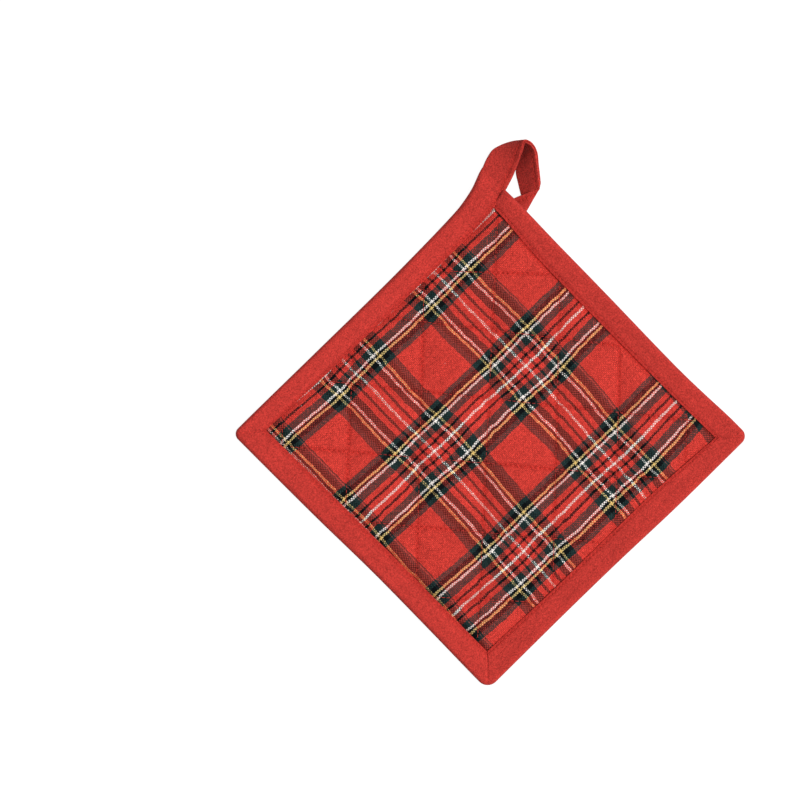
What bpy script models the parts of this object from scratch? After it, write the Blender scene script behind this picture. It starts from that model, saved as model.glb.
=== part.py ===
"""Square quilted pot holder: a padded tartan panel, a folded edge binding and its hanging loop.

The pad lies on its back. X and Y run along its sides, +Z points up and the loop leaves at the corner
where X and Y are greatest. The origin is the middle of the pad's flat back. Lengths are millimetres
and become metres when a mesh is made.
"""
import math
from collections import namedtuple

import bmesh
import bpy
from mathutils import Vector

MILLIMETRE = 0.001

# --- driving dimensions -------------------------------------------------------------------------

PUFF_HEIGHT = 7.2          # top of the wadding in the middle of a diamond
STITCH_HEIGHT = 4.0        # top of the face where it is sewn down
RIM_LOW = 1.3              # the pad's rim is pressed between these heights inside the binding
RIM_HIGH = 4.3
BACK_CHANNEL = 0.9         # depth of a sewn channel in the back
RIM_SLOPE = 11.0           # the face climbs from the binding over this distance
PUFF_POWER = 2.3           # how flat a puff is in its middle
PUFF_ROUNDNESS = 0.75      # under 1 makes the sides of a channel steeper

BINDING_MIDDLE = 2.8       # height of the fold that runs round the outer edge
BINDING_HALF = 2.8         # half of the binding's height over the pad's rim
BINDING_CROWN = 0.3        # the upper side of the binding swells by this much
STRIP_HALF = 1.0           # half of the strip's thickness where it is sewn shut on itself
SLOT_HALF = 1.8            # half of the height that the pad's rim has inside the binding
SLOT_CLEARANCE = 0.9       # room between the pad's rim and the fold
FOLD_EDGE = 0.35           # rounding of the binding's inner edges
MITRE_DEPTH = 0.5          # how far the fold line of a mitre sinks
MITRE_STEP = 1.2           # distance between sections beside a mitre

SIDE_SECTIONS = {"east": 26, "south": 11, "west": 11, "north": 12}
CORNER_SECTIONS = 7        # sections round a corner; the middle one is the mitre

RIM_CHAMFER = 5.0          # corners of the pad inside the binding
RimEdges = namedtuple("RimEdges", "west east south north")
PAD_RIM = RimEdges(west=-97.0, east=96.4, south=-95.9, north=96.8)
FACE_RIM = RimEdges(west=-84.2, east=84.7, south=-82.4, north=84.6)

# The corner beside the loop rides up over the loop's sewn end.
LIFT_HEIGHT = 4.2
LIFT_RADIUS = 35.0
LIFT_CENTRE = (100.0, 80.0)

# Quilting lines on the face, y = intercept + slope * x.
QuiltLine = namedtuple("QuiltLine", "intercept slope")
RISING_LINES = [
    QuiltLine(208.0, 0.93),
    QuiltLine(156.0, 0.93),
    QuiltLine(105.0, 0.914),
    QuiltLine(53.5, 0.959),
    QuiltLine(2.5, 0.916),
    QuiltLine(-50.0, 0.962),
    QuiltLine(-96.4, 0.958),
    QuiltLine(-148.5, 0.958),
    QuiltLine(-200.0, 0.958),
]
FALLING_LINES = [
    QuiltLine(233.0, -1.05),
    QuiltLine(181.0, -1.05),
    QuiltLine(128.8, -1.051),
    QuiltLine(91.6, -1.265),
    QuiltLine(30.9, -1.231),
    QuiltLine(-24.6, -1.174),
    QuiltLine(-83.2, -1.179),
    QuiltLine(-134.4, -1.095),
    QuiltLine(-188.0, -1.09),
    QuiltLine(-240.0, -1.09),
]
# Where points lie between one quilting line and the next.
DIAMOND_STEPS = [0.0, 0.06, 0.18, 0.36, 0.64, 0.82, 0.94]

# Each side of the binding, as distances from the pad's middle: its outer fold and its inner edge.
SideRow = namedtuple("SideRow", "along outer inner")
EAST_SIDE = [
    SideRow(along=-88.0, outer=99.9, inner=86.2),
    SideRow(along=-60.0, outer=98.8, inner=85.7),
    SideRow(along=-40.0, outer=98.6, inner=85.7),
    SideRow(along=10.0, outer=99.4, inner=85.7),
    SideRow(along=50.0, outer=99.8, inner=86.3),
    SideRow(along=88.9, outer=100.0, inner=88.5),
]
SOUTH_SIDE = [
    SideRow(along=-88.0, outer=98.5, inner=83.1),
    SideRow(along=-40.0, outer=98.6, inner=84.5),
    SideRow(along=0.0, outer=99.1, inner=84.9),
    SideRow(along=45.0, outer=100.3, inner=85.5),
    SideRow(along=88.0, outer=100.5, inner=87.9),
]
WEST_SIDE = [
    SideRow(along=-88.0, outer=100.0, inner=85.3),
    SideRow(along=-54.0, outer=99.5, inner=85.2),
    SideRow(along=-9.0, outer=99.2, inner=85.0),
    SideRow(along=36.0, outer=100.1, inner=85.2),
    SideRow(along=90.0, outer=100.4, inner=85.8),
]
NORTH_SIDE = [
    SideRow(along=-88.0, outer=100.0, inner=88.4),
    SideRow(along=-33.0, outer=99.5, inner=86.7),
    SideRow(along=20.0, outer=99.1, inner=85.7),
    SideRow(along=55.0, outer=99.6, inner=85.5),
    SideRow(along=75.0, outer=100.5, inner=85.8),
    SideRow(along=87.0, outer=102.8, inner=86.8),
    SideRow(along=100.2, outer=107.2, inner=89.3),
]
CORNER_RADIUS = {"south_east": 5.0, "south_west": 6.5, "north_west": 4.3}
STRIP_START = 88.9         # the strip starts here on the east side, under the north side's edge
STRIP_START_INNER = 86.9
STRIP_LEAVES = 100.2       # and leaves the pad here, to become the loop
LEGS_CLOSE = 97.3          # from here its two legs close on each other

# The loop: the strip's outer edge, which turns down to the surface, and its other edge, which stands
# up. One row for each section, from the pad round and back under the east side.
LoopRow = namedtuple("LoopRow", "low_x low_y low_z high_x high_y high_z")
LOOP_SECTIONS = [
    LoopRow(100.5, 107.3, 3.5, 100.5, 89.4, 6.4),
    LoopRow(105.0, 109.0, 3.7, 107.8, 91.8, 7.2),
    LoopRow(110.6, 110.1, 3.6, 115.8, 95.3, 9.2),
    LoopRow(115.5, 108.7, 3.0, 121.3, 98.3, 13.0),
    LoopRow(121.2, 105.4, 1.8, 124.9, 100.4, 15.2),
    LoopRow(124.4, 102.4, 1.3, 126.4, 98.0, 15.8),
    LoopRow(121.6, 98.8, 1.1, 126.5, 95.0, 15.4),
    LoopRow(116.6, 96.0, 1.0, 125.2, 91.4, 14.4),
    LoopRow(111.6, 92.4, 1.0, 122.4, 87.6, 13.2),
    LoopRow(107.8, 86.6, 1.0, 119.2, 83.4, 12.6),
    LoopRow(104.6, 81.3, 1.0, 116.6, 80.0, 11.6),
    LoopRow(102.2, 76.8, 1.0, 115.2, 78.2, 10.4),
    LoopRow(100.8, 74.2, 1.0, 113.2, 77.4, 8.8),
    LoopRow(98.2, 72.4, 1.2, 109.2, 79.2, 7.0),
    LoopRow(94.6, 71.0, 1.4, 104.6, 81.2, 4.6),
    LoopRow(91.2, 69.8, 1.6, 100.2, 83.0, 2.8),
    LoopRow(86.6, 69.4, 1.1, 90.6, 85.4, 2.1),
]
LOOP_STEPS = 3             # sections worked out from one row to the next
LOOP_ACROSS = 3            # flat stretches across the strip

FACE_COLOUR = (0.42, 0.035, 0.03, 1.0)
BINDING_COLOUR = (0.5, 0.03, 0.025, 1.0)
CLOTH_ROUGHNESS = 0.9


# --- helpers ------------------------------------------------------------------------------------

def remove_old_objects():
    for old in list(bpy.data.objects):
        bpy.data.objects.remove(old, do_unlink=True)


def cloth_material(name, colour):
    cloth = bpy.data.materials.new(name)
    cloth.use_nodes = True
    cloth.diffuse_color = colour
    shader = cloth.node_tree.nodes["Principled BSDF"]
    shader.inputs["Base Color"].default_value = colour
    shader.inputs["Roughness"].default_value = CLOTH_ROUGHNESS
    shader.inputs["Metallic"].default_value = 0.0
    return cloth


def finish_piece(name, shape, cloth):
    """Turn a closed bmesh in millimetres into an object in metres, with its faces pointing out."""
    bmesh.ops.triangulate(shape, faces=shape.faces[:])
    bmesh.ops.recalc_face_normals(shape, faces=shape.faces[:])
    bmesh.ops.scale(shape, vec=Vector((MILLIMETRE,) * 3), verts=shape.verts[:])
    mesh = bpy.data.meshes.new(name)
    shape.to_mesh(mesh)
    shape.free()
    mesh.shade_smooth()
    mesh.set_sharp_from_angle(angle=math.radians(50.0))
    mesh.materials.append(cloth)
    piece = bpy.data.objects.new(name, mesh)
    bpy.context.scene.collection.objects.link(piece)
    return piece


def mix(first, second, share):
    return first + (second - first) * share


def smooth_step(value):
    value = min(max(value, 0.0), 1.0)
    return value * value * (3.0 - 2.0 * value)


def blend_rows(rows, index, share):
    """A smooth curve through table rows: the point a share of the way from row index to the next."""
    last = len(rows) - 1
    before = rows[max(index - 1, 0)]
    start = rows[index]
    end = rows[min(index + 1, last)]
    after = rows[min(index + 2, last)]
    values = []
    for a, b, c, d in zip(before, start, end, after):
        bend = (2.0 * a - 5.0 * b + 4.0 * c - d) * share ** 2 + (3.0 * (b - c) + d - a) * share ** 3
        values.append(b + 0.5 * ((c - a) * share + bend))
    return type(start)(*values)


def side_at(rows, along):
    """The binding's outer and inner distance at a place along a side."""
    index = 0
    while index < len(rows) - 2 and along > rows[index + 1].along:
        index += 1
    start = rows[index]
    end = rows[index + 1]
    share = (along - start.along) / (end.along - start.along)
    return blend_rows(rows, index, min(max(share, 0.0), 1.0))


def corner_lift(x, y):
    """How far the pad is lifted where it lies on the loop's sewn end."""
    away = math.hypot(x - LIFT_CENTRE[0], y - LIFT_CENTRE[1]) / LIFT_RADIUS
    if away >= 1.0:
        return 0.0
    return LIFT_HEIGHT * (1.0 - away ** 2) ** 2


# --- the quilted panel --------------------------------------------------------------------------

def fine_lines(lines):
    """The quilting lines and the lines of points between them, with their place in a diamond."""
    fine = []
    for start, end in zip(lines, lines[1:]):
        for share in DIAMOND_STEPS:
            between = QuiltLine(mix(start.intercept, end.intercept, share), mix(start.slope, end.slope, share))
            fine.append((between, share))
    fine.append((lines[-1], 0.0))
    return fine


def crossing(rising, falling):
    x = (falling.intercept - rising.intercept) / (rising.slope - falling.slope)
    return x, rising.intercept + rising.slope * x


def puff(share):
    """0 on a quilting line and 1 half way to the next."""
    return (1.0 - abs(2.0 * share - 1.0) ** PUFF_POWER) ** PUFF_ROUNDNESS


def line_share(lines, x, y):
    """How far a point lies from one quilting line of a family to the next."""
    offsets = [y - line.intercept - line.slope * x for line in lines]
    for first, second in zip(offsets, offsets[1:]):
        if first <= 0.0 <= second:
            return first / (first - second)
    return 0.0


def rim_share(x, y):
    """0 under the binding and 1 where the wadding is free of it."""
    inside = min(x - FACE_RIM.west, FACE_RIM.east - x, y - FACE_RIM.south, FACE_RIM.north - y)
    return math.sin(0.5 * math.pi * min(max(inside / RIM_SLOPE, 0.0), 1.0)) ** 0.7


def face_height(x, y):
    swell = puff(line_share(RISING_LINES, x, y)) * puff(line_share(FALLING_LINES, x, y))
    free = mix(STITCH_HEIGHT, PUFF_HEIGHT, swell)
    return mix(RIM_HIGH, free, rim_share(x, y))


def back_height(x, y):
    nearest = min(
        min(share, 1.0 - share)
        for share in (line_share(RISING_LINES, x, y), line_share(FALLING_LINES, x, y))
    )
    channel = BACK_CHANNEL * max(0.0, 1.0 - nearest / DIAMOND_STEPS[1])
    return mix(RIM_LOW, channel, min(1.0, 3.0 * rim_share(x, y)))


def cut(shape, point, normal, keep_both=False):
    bmesh.ops.bisect_plane(
        shape,
        geom=shape.verts[:] + shape.edges[:] + shape.faces[:],
        dist=0.02,
        plane_co=Vector((*point, 0.0)),
        plane_no=Vector((*normal, 0.0)),
        clear_outer=not keep_both,
    )


def diamond_grid():
    """A flat grid of points along the quilting lines, wider than the pad."""
    shape = bmesh.new()
    falling = fine_lines(FALLING_LINES)
    rows = []
    for rising, _ in fine_lines(RISING_LINES):
        points = [crossing(rising, other) for other, _ in falling]
        rows.append([shape.verts.new((x, y, 0.0)) for x, y in points])
    for first, second in zip(rows, rows[1:]):
        for index in range(len(first) - 1):
            shape.faces.new((first[index], first[index + 1], second[index + 1], second[index]))
    return shape


def trim_to_rim(shape):
    """Cut the grid along the binding's inner edge, and off at the pad's rim and its corners."""
    sides = [("east", 1, 0), ("west", -1, 0), ("north", 0, 1), ("south", 0, -1)]
    for side, right, up in sides:
        for edges, keep_both in ((PAD_RIM, False), (FACE_RIM, True)):
            distance = abs(getattr(edges, side))
            cut(shape, (right * distance, up * distance), (right, up), keep_both)
    for x in (PAD_RIM.west, PAD_RIM.east):
        for y in (PAD_RIM.south, PAD_RIM.north):
            outward = (math.copysign(1.0, x), math.copysign(1.0, y))
            cut(shape, (x - outward[0] * RIM_CHAMFER, y), outward)


def make_quilted_panel(cloth):
    shape = diamond_grid()
    trim_to_rim(shape)
    bmesh.ops.remove_doubles(shape, verts=shape.verts[:], dist=0.35)
    lower = bmesh.ops.extrude_face_region(shape, geom=shape.faces[:])
    back = {item for item in lower["geom"] if isinstance(item, bmesh.types.BMVert)}
    for vert in shape.verts:
        x, y, _ = vert.co
        height = back_height(x, y) if vert in back else face_height(x, y)
        vert.co.z = height + corner_lift(x, y)
    return finish_piece("quilted_panel", shape, cloth)


# --- the edge binding ---------------------------------------------------------------------------

# A section from the outer fold to the inner edge. Closing is 1 where the two legs meet in one strip.
Section = namedtuple("Section", "outer inner mitre closing", defaults=(False, 0.0))

SIDE_PLACES = {
    "east": lambda along, out: Vector((out, along)),
    "west": lambda along, out: Vector((-out, along)),
    "north": lambda along, out: Vector((along, out)),
    "south": lambda along, out: Vector((along, -out)),
}


def side_sections(side, rows, outer_ends, inner_ends):
    """Sections between two corners; the ends give the first and last place along each edge."""
    place = SIDE_PLACES[side]
    sections = []
    count = SIDE_SECTIONS[side]
    for index in range(count):
        share = index / (count - 1)
        along_outer = mix(outer_ends[0], outer_ends[1], share)
        along_inner = mix(inner_ends[0], inner_ends[1], share)
        outer = place(along_outer, side_at(rows, along_outer).outer)
        inner = place(along_inner, side_at(rows, along_inner).inner)
        sections.append(Section(outer, inner))
    return sections


def corner_sections(corner, inner_corner, radius, back, onward):
    """Sections round a rounded corner, with the mitre in the middle one."""
    centre = corner + radius * (back + onward)
    middle = (CORNER_SECTIONS - 1) // 2
    sections = []
    for index in range(CORNER_SECTIONS):
        angle = 0.5 * math.pi * index / (CORNER_SECTIONS - 1)
        outer = centre - radius * (math.cos(angle) * onward + math.sin(angle) * back)
        step = MITRE_STEP * (index - middle)
        inner = inner_corner + (onward * step if step > 0 else back * -step)
        sections.append(Section(outer, inner, mitre=index == middle))
    return sections


def corner_points(first_side, first_rows, first_end, second_side, second_rows, second_end):
    """The outer and inner corner where two sides of the binding meet."""
    first = side_at(first_rows, first_end)
    second = side_at(second_rows, second_end)
    upright = first_side in ("east", "west")
    sign_x = 1 if "east" in (first_side, second_side) else -1
    sign_y = 1 if "north" in (first_side, second_side) else -1
    wide, high = (first, second) if upright else (second, first)
    outer = Vector((sign_x * wide.outer, sign_y * high.outer))
    inner = Vector((sign_x * wide.inner, sign_y * high.inner))
    return outer, inner


def binding_sections():
    """All sections, from the strip's start on the east side, clockwise, to the loop."""
    up, right = Vector((0.0, 1.0)), Vector((1.0, 0.0))
    reach = (CORNER_SECTIONS - 1) // 2 * MITRE_STEP
    south_east = corner_points("east", EAST_SIDE, -88.0, "south", SOUTH_SIDE, 88.0)
    south_west = corner_points("south", SOUTH_SIDE, -88.0, "west", WEST_SIDE, -88.0)
    north_west = corner_points("west", WEST_SIDE, 90.0, "north", NORTH_SIDE, -88.0)
    radius = CORNER_RADIUS
    sections = side_sections(
        "east", EAST_SIDE,
        (STRIP_START, south_east[0].y + 1.6 * radius["south_east"]),
        (STRIP_START_INNER, south_east[1].y + 1.6 * reach),
    )
    sections += corner_sections(*south_east, radius["south_east"], up, -right)
    sections += side_sections(
        "south", SOUTH_SIDE,
        (south_east[0].x - 1.6 * radius["south_east"], south_west[0].x + 1.6 * radius["south_west"]),
        (south_east[1].x - 1.6 * reach, south_west[1].x + 1.6 * reach),
    )
    sections += corner_sections(*south_west, radius["south_west"], right, up)
    sections += side_sections(
        "west", WEST_SIDE,
        (south_west[0].y + 1.6 * radius["south_west"], north_west[0].y - 1.6 * radius["north_west"]),
        (south_west[1].y + 1.6 * reach, north_west[1].y - 1.6 * reach),
    )
    sections += corner_sections(*north_west, radius["north_west"], -up, right)
    sections += side_sections(
        "north", NORTH_SIDE,
        (north_west[0].x + 1.6 * radius["north_west"], 72.0),
        (north_west[1].x + 1.6 * reach, 72.0),
    )
    for along in (78.0, 83.0, 88.0, 92.5, 96.4, LEGS_CLOSE, 98.8, STRIP_LEAVES):
        row = side_at(NORTH_SIDE, along)
        closing = smooth_step((along - LEGS_CLOSE) / (STRIP_LEAVES - LEGS_CLOSE))
        outer, inner = Vector((along, row.outer)), Vector((along, row.inner))
        sections.append(Section(outer, inner, closing=closing))
    return sections


def slot_share(section):
    """How far across the strip the room for the pad's rim begins, seen from the outer fold."""
    chamfer = RIM_CHAMFER - SLOT_CLEARANCE
    walls = []
    for x in (PAD_RIM.west, PAD_RIM.east):
        for y in (PAD_RIM.south, PAD_RIM.north):
            sign_x, sign_y = math.copysign(1.0, x), math.copysign(1.0, y)
            walls.append((Vector((sign_x, 0.0)), abs(x) + SLOT_CLEARANCE))
            walls.append((Vector((0.0, sign_y)), abs(y) + SLOT_CLEARANCE))
            walls.append((Vector((sign_x, sign_y)), abs(x) + abs(y) - chamfer))
    share = 0.0
    for normal, distance in walls:
        outer = normal.dot(section.outer) - distance
        inner = normal.dot(section.inner) - distance
        if outer > 0.0 > inner:
            share = max(share, outer / (outer - inner))
    return share


def binding_profile(section):
    """The folded strip's outline across one section: (distance from the outer fold, height)."""
    width = (section.inner - section.outer).length
    wall = slot_share(section) * width
    closing = section.closing
    slot_half = mix(SLOT_HALF, 0.1, closing)
    rise_end = wall + 1.2
    rise_start = max(0.0, rise_end - 6.0)

    def half_height(distance):
        rounding = math.sqrt(max(0.0, 1.0 - (1.0 - min(distance, 1.0)) ** 2))
        climb = smooth_step((distance - rise_start) / (rise_end - rise_start)) * (1.0 - closing)
        return STRIP_HALF * rounding + (BINDING_HALF - STRIP_HALF) * climb

    sink = MITRE_DEPTH if section.mitre else 0.0
    across = [0.0, 0.35, 1.0, 1.9, 3.2, 0.35 * width, 0.55 * width, 0.78 * width, width - FOLD_EDGE]
    upper = []
    lower = []
    for distance in across:
        crown = BINDING_CROWN * math.sin(math.pi * distance / width) * (1.0 - closing)
        settle = sink * smooth_step((distance - 1.0) / 2.0)
        upper.append((distance, BINDING_MIDDLE + half_height(distance) + crown - settle))
        lower.append((distance, BINDING_MIDDLE - half_height(distance) + 0.6 * settle))
    edge = half_height(width) - FOLD_EDGE
    upper.append((width, BINDING_MIDDLE + edge - sink))
    lower.append((width, BINDING_MIDDLE - edge + 0.6 * sink))
    slot = [
        (width, BINDING_MIDDLE + slot_half),
        (wall, BINDING_MIDDLE + slot_half),
        (wall, BINDING_MIDDLE - slot_half),
        (width, BINDING_MIDDLE - slot_half),
    ]
    return upper + slot + lower[:0:-1]


def sweep(rings, shape):
    """Join rings of points into a tube with a face over each end."""
    loops = [[shape.verts.new(point) for point in ring] for ring in rings]
    count = len(loops[0])
    for first, second in zip(loops, loops[1:]):
        for index in range(count):
            after = (index + 1) % count
            shape.faces.new((first[index], first[after], second[after], second[index]))
    shape.faces.new(loops[0][::-1])
    shape.faces.new(loops[-1])


def make_edge_binding(cloth):
    rings = []
    for section in binding_sections():
        inward = (section.inner - section.outer).normalized()
        ring = []
        for distance, height in binding_profile(section):
            place = section.outer + inward * distance
            ring.append((place.x, place.y, height + corner_lift(place.x, place.y)))
        rings.append(ring)
    shape = bmesh.new()
    sweep(rings, shape)
    return finish_piece("edge_binding", shape, cloth)


# --- the hanging loop ---------------------------------------------------------------------------

def loop_edges():
    """The strip's two edges as smooth curves through the table's rows."""
    low, high = [], []
    for index in range(len(LOOP_SECTIONS) - 1):
        for step in range(LOOP_STEPS):
            row = blend_rows(LOOP_SECTIONS, index, step / LOOP_STEPS)
            low.append(Vector((row.low_x, row.low_y, row.low_z)))
            high.append(Vector((row.high_x, row.high_y, row.high_z)))
    end = LOOP_SECTIONS[-1]
    low.append(Vector((end.low_x, end.low_y, end.low_z)))
    high.append(Vector((end.high_x, end.high_y, end.high_z)))
    return low, high


def strip_outline(width):
    """Half of the strip's section: (distance from the low edge, half of the thickness there)."""
    edge = STRIP_HALF
    flat = width - 2.0 * edge
    outline = [(0.0, 0.0), (0.3 * edge, 0.71 * edge)]
    outline += [(edge + flat * index / LOOP_ACROSS, edge) for index in range(LOOP_ACROSS + 1)]
    outline += [(width - 0.3 * edge, 0.71 * edge), (width, 0.0)]
    return outline


def make_hanging_loop(cloth):
    low, high = loop_edges()
    last = len(low) - 1
    rings = []
    for index in range(len(low)):
        before, after = max(index - 1, 0), min(index + 1, last)
        across = (high[index] - low[index])
        outline = strip_outline(across.length)
        upper, lower = [], []
        for distance, half in outline:
            share = distance / across.length
            place = mix(low[index], high[index], share)
            heading = mix(low[after], high[after], share) - mix(low[before], high[before], share)
            normal = across.cross(heading).normalized()
            upper.append(place + normal * half)
            lower.append(place - normal * half)
        rings.append(upper + lower[-2:0:-1])
    shape = bmesh.new()
    sweep(rings, shape)
    return finish_piece("hanging_loop", shape, cloth)


def main():
    remove_old_objects()
    face = cloth_material("tartan_face", FACE_COLOUR)
    binding = cloth_material("red_binding", BINDING_COLOUR)
    make_quilted_panel(face)
    make_edge_binding(binding)
    make_hanging_loop(binding)


main()
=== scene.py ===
# %% [markdown]
# # A quilted pot holder, dressed for its photograph
#
# A square pad of red tartan cotton is quilted with straight lines of red thread, and a plain red strip is
# folded over its edge and runs on into a hanging loop. The measured solids come first, as a fixed frame.
# Every piece below is made round them in the same coordinates: X and Y run along the pad's sides, Z is up,
# and the loop leaves at the corner where X and Y are greatest. The numbers here are millimetres until a
# mesh is made.

# %% Load the measured solids
import math
from collections import namedtuple

import bmesh
import bpy
import numpy as np
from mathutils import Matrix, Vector, noise
from mathutils.bvhtree import BVHTree


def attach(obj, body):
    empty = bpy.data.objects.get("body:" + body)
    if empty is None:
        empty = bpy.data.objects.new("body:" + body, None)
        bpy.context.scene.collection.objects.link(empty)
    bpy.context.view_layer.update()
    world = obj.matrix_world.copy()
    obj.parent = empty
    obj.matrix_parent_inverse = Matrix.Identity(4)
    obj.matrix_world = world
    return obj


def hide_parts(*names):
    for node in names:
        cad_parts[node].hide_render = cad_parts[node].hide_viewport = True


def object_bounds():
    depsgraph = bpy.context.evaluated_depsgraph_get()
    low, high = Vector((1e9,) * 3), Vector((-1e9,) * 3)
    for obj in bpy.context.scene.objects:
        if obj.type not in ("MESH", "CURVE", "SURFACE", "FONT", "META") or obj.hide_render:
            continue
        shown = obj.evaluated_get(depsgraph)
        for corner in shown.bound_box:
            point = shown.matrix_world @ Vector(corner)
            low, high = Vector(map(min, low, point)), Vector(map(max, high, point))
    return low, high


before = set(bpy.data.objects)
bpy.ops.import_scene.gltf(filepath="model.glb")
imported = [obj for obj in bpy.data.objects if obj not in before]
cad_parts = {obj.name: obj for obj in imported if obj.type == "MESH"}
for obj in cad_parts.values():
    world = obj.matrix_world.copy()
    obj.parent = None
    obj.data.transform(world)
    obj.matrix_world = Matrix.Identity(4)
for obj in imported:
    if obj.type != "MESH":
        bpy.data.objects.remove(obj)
cad_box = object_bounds()
MILLIMETRE = 0.001
BODY = "root"


def add_object(name, data):
    made = bpy.data.objects.new(name, data)
    bpy.context.scene.collection.objects.link(made)
    return made


print("solids:", ", ".join(sorted(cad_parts)), "- box in mm:",
      [round(x / MILLIMETRE, 1) for corner in cad_box for x in corner])

# %% [markdown]
# ## The view
#
# The photograph looks straight down on the pad, which is turned so that its loop points up. A long lens
# keeps the sides parallel. The camera stands over the picture's middle, beside the pad's own middle, so
# that the pad falls at its place in the picture without any lens shift.

# %% Camera
PICTURE_WIDTH = 438.2                 # millimetres that the picture spans at the height of the pad's face
PICTURE_CENTRE = (-22.0, 48.4)        # the point of the pad's plane in the middle of the picture
PAD_TURN = 44.77                      # degrees from the picture's right to the pad's X axis
LENS = 100.0
SENSOR = 36.0
FACE_LEVEL = 5.5

camera_height = PICTURE_WIDTH * LENS / SENSOR + FACE_LEVEL
camera_data = bpy.data.cameras.new("camera")
camera_data.lens = LENS
camera_data.sensor_width = SENSOR
camera = add_object("camera", camera_data)
camera.location = Vector((*PICTURE_CENTRE, camera_height)) * MILLIMETRE
camera.rotation_euler = (0.0, 0.0, -math.radians(PAD_TURN))
bpy.context.scene.camera = camera
print("camera", round(camera_height), "mm above the table")

# %% [markdown]
# ## Table and light
#
# The cloth is brighter on the slopes that face the picture's right, such as the left side of each quilting
# line, and the loop's inner face is dark, so the light is one large soft lamp high on the right in a dim
# white room. The background is pure white with no shadow, as on a table that is lit from below.

# %% Table, lamp and world
TABLE_SIZE = 16000.0
TABLE_DROP = 0.15                     # keeps the table just under the pad's flat back
TABLE_GREY = 0.06
TABLE_GLOW = 0.96
LAMP_PLACE = (2880.0, -2850.0, 6000.0)
LAMP_SIZE = 3900.0
LAMP_WATTS = 790.0
WORLD_STRENGTH = 0.38
WHITE = (1.0, 1.0, 1.0, 1.0)


def new_material(name, inputs):
    """A material and its Principled shader, with the shader's own sockets set."""
    material = bpy.data.materials.new(name)
    material.use_nodes = True
    shader = material.node_tree.nodes["Principled BSDF"]
    for socket, value in inputs.items():
        shader.inputs[socket].default_value = value
    return material, shader


def mesh_object(name, vertices, faces, scale=MILLIMETRE):
    mesh = bpy.data.meshes.new(name)
    mesh.from_pydata((np.asarray(vertices, float) * scale).tolist(), [], faces)
    mesh.update()
    return add_object(name, mesh)


half = TABLE_SIZE / 2.0
table_corners = [(x * half, y * half, -TABLE_DROP) for x, y in ((-1, -1), (1, -1), (1, 1), (-1, 1))]
table = mesh_object("table", table_corners, [(0, 1, 2, 3)])
table_white, _ = new_material("white_table", {
    "Base Color": (TABLE_GREY, TABLE_GREY, TABLE_GREY, 1.0), "Roughness": 0.7,
    "Emission Color": WHITE, "Emission Strength": TABLE_GLOW})
table.data.materials.append(table_white)

light = bpy.data.lights.new("window_lamp", "AREA")
light.shape = "DISK"
light.size = LAMP_SIZE * MILLIMETRE
light.energy = LAMP_WATTS
lamp = add_object("window_lamp", light)
lamp.location = Vector(LAMP_PLACE) * MILLIMETRE
lamp.rotation_mode = "QUATERNION"
lamp.rotation_quaternion = lamp.location.to_track_quat("Z", "Y")

world = bpy.data.worlds.new("white_room")
world.use_nodes = True
world.node_tree.nodes["Background"].inputs["Color"].default_value = WHITE
world.node_tree.nodes["Background"].inputs["Strength"].default_value = WORLD_STRENGTH
bpy.context.scene.world = world
bpy.context.scene.view_settings.view_transform = "Standard"
print("lamp", round(lamp.location.length, 1), "m away")

# %% [markdown]
# ## How the pad is laid out
#
# These are the sizes that the solids were built from. Two families of straight quilting lines cross the
# face, `y = intercept + slope * x`, and each diamond between them swells. The lines aren't quite parallel,
# because a maker sewed them by eye. The four side tables give the binding's outer fold and inner edge.

# %% Quilting lines, sides and heights
STITCH_HEIGHT = 4.0
RIM_LOW = 1.3
BACK_CHANNEL = 0.9
BACK_CHANNEL_WIDTH = 0.06             # as a share of a diamond
RIM_SLOPE = 11.0

EDGE_LEVEL = 2.9                      # the seam pulls the face down to here at the binding's inner edge
EDGE_SLOPE = 2.6                      # and lets go of it this far in
BINDING_MIDDLE = 2.8
BINDING_HALF = 2.8
BINDING_CROWN = 0.12
STRIP_HALF = 1.0
SLOT_HALF = 1.8

Edges = namedtuple("Edges", "west east south north")
PAD_RIM = Edges(-97.0, 96.4, -95.9, 96.8)
FACE_RIM = Edges(-84.2, 84.7, -82.4, 84.6)
RIM_CHAMFER = 5.0
RIM_CORNERS = [(x, y, math.copysign(1.0, x), math.copysign(1.0, y))
               for x in PAD_RIM[:2] for y in PAD_RIM[2:]]

LIFT_HEIGHT = 4.2
LIFT_RADIUS = 35.0
LIFT_CENTRE = (100.0, 80.0)

QuiltLine = namedtuple("QuiltLine", "intercept slope")
QUILTING = {seam: [QuiltLine(*row) for row in rows] for seam, rows in {
    "rising_seam": (
        (208.0, 0.93), (156.0, 0.93), (105.0, 0.914), (53.5, 0.959), (2.5, 0.916),
        (-50.0, 0.962), (-96.4, 0.958), (-148.5, 0.958), (-200.0, 0.958)),
    "falling_seam": (
        (233.0, -1.05), (181.0, -1.05), (128.8, -1.051), (91.6, -1.265), (30.9, -1.231),
        (-24.6, -1.174), (-83.2, -1.179), (-134.4, -1.095), (-188.0, -1.09), (-240.0, -1.09)),
}.items()}

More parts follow.
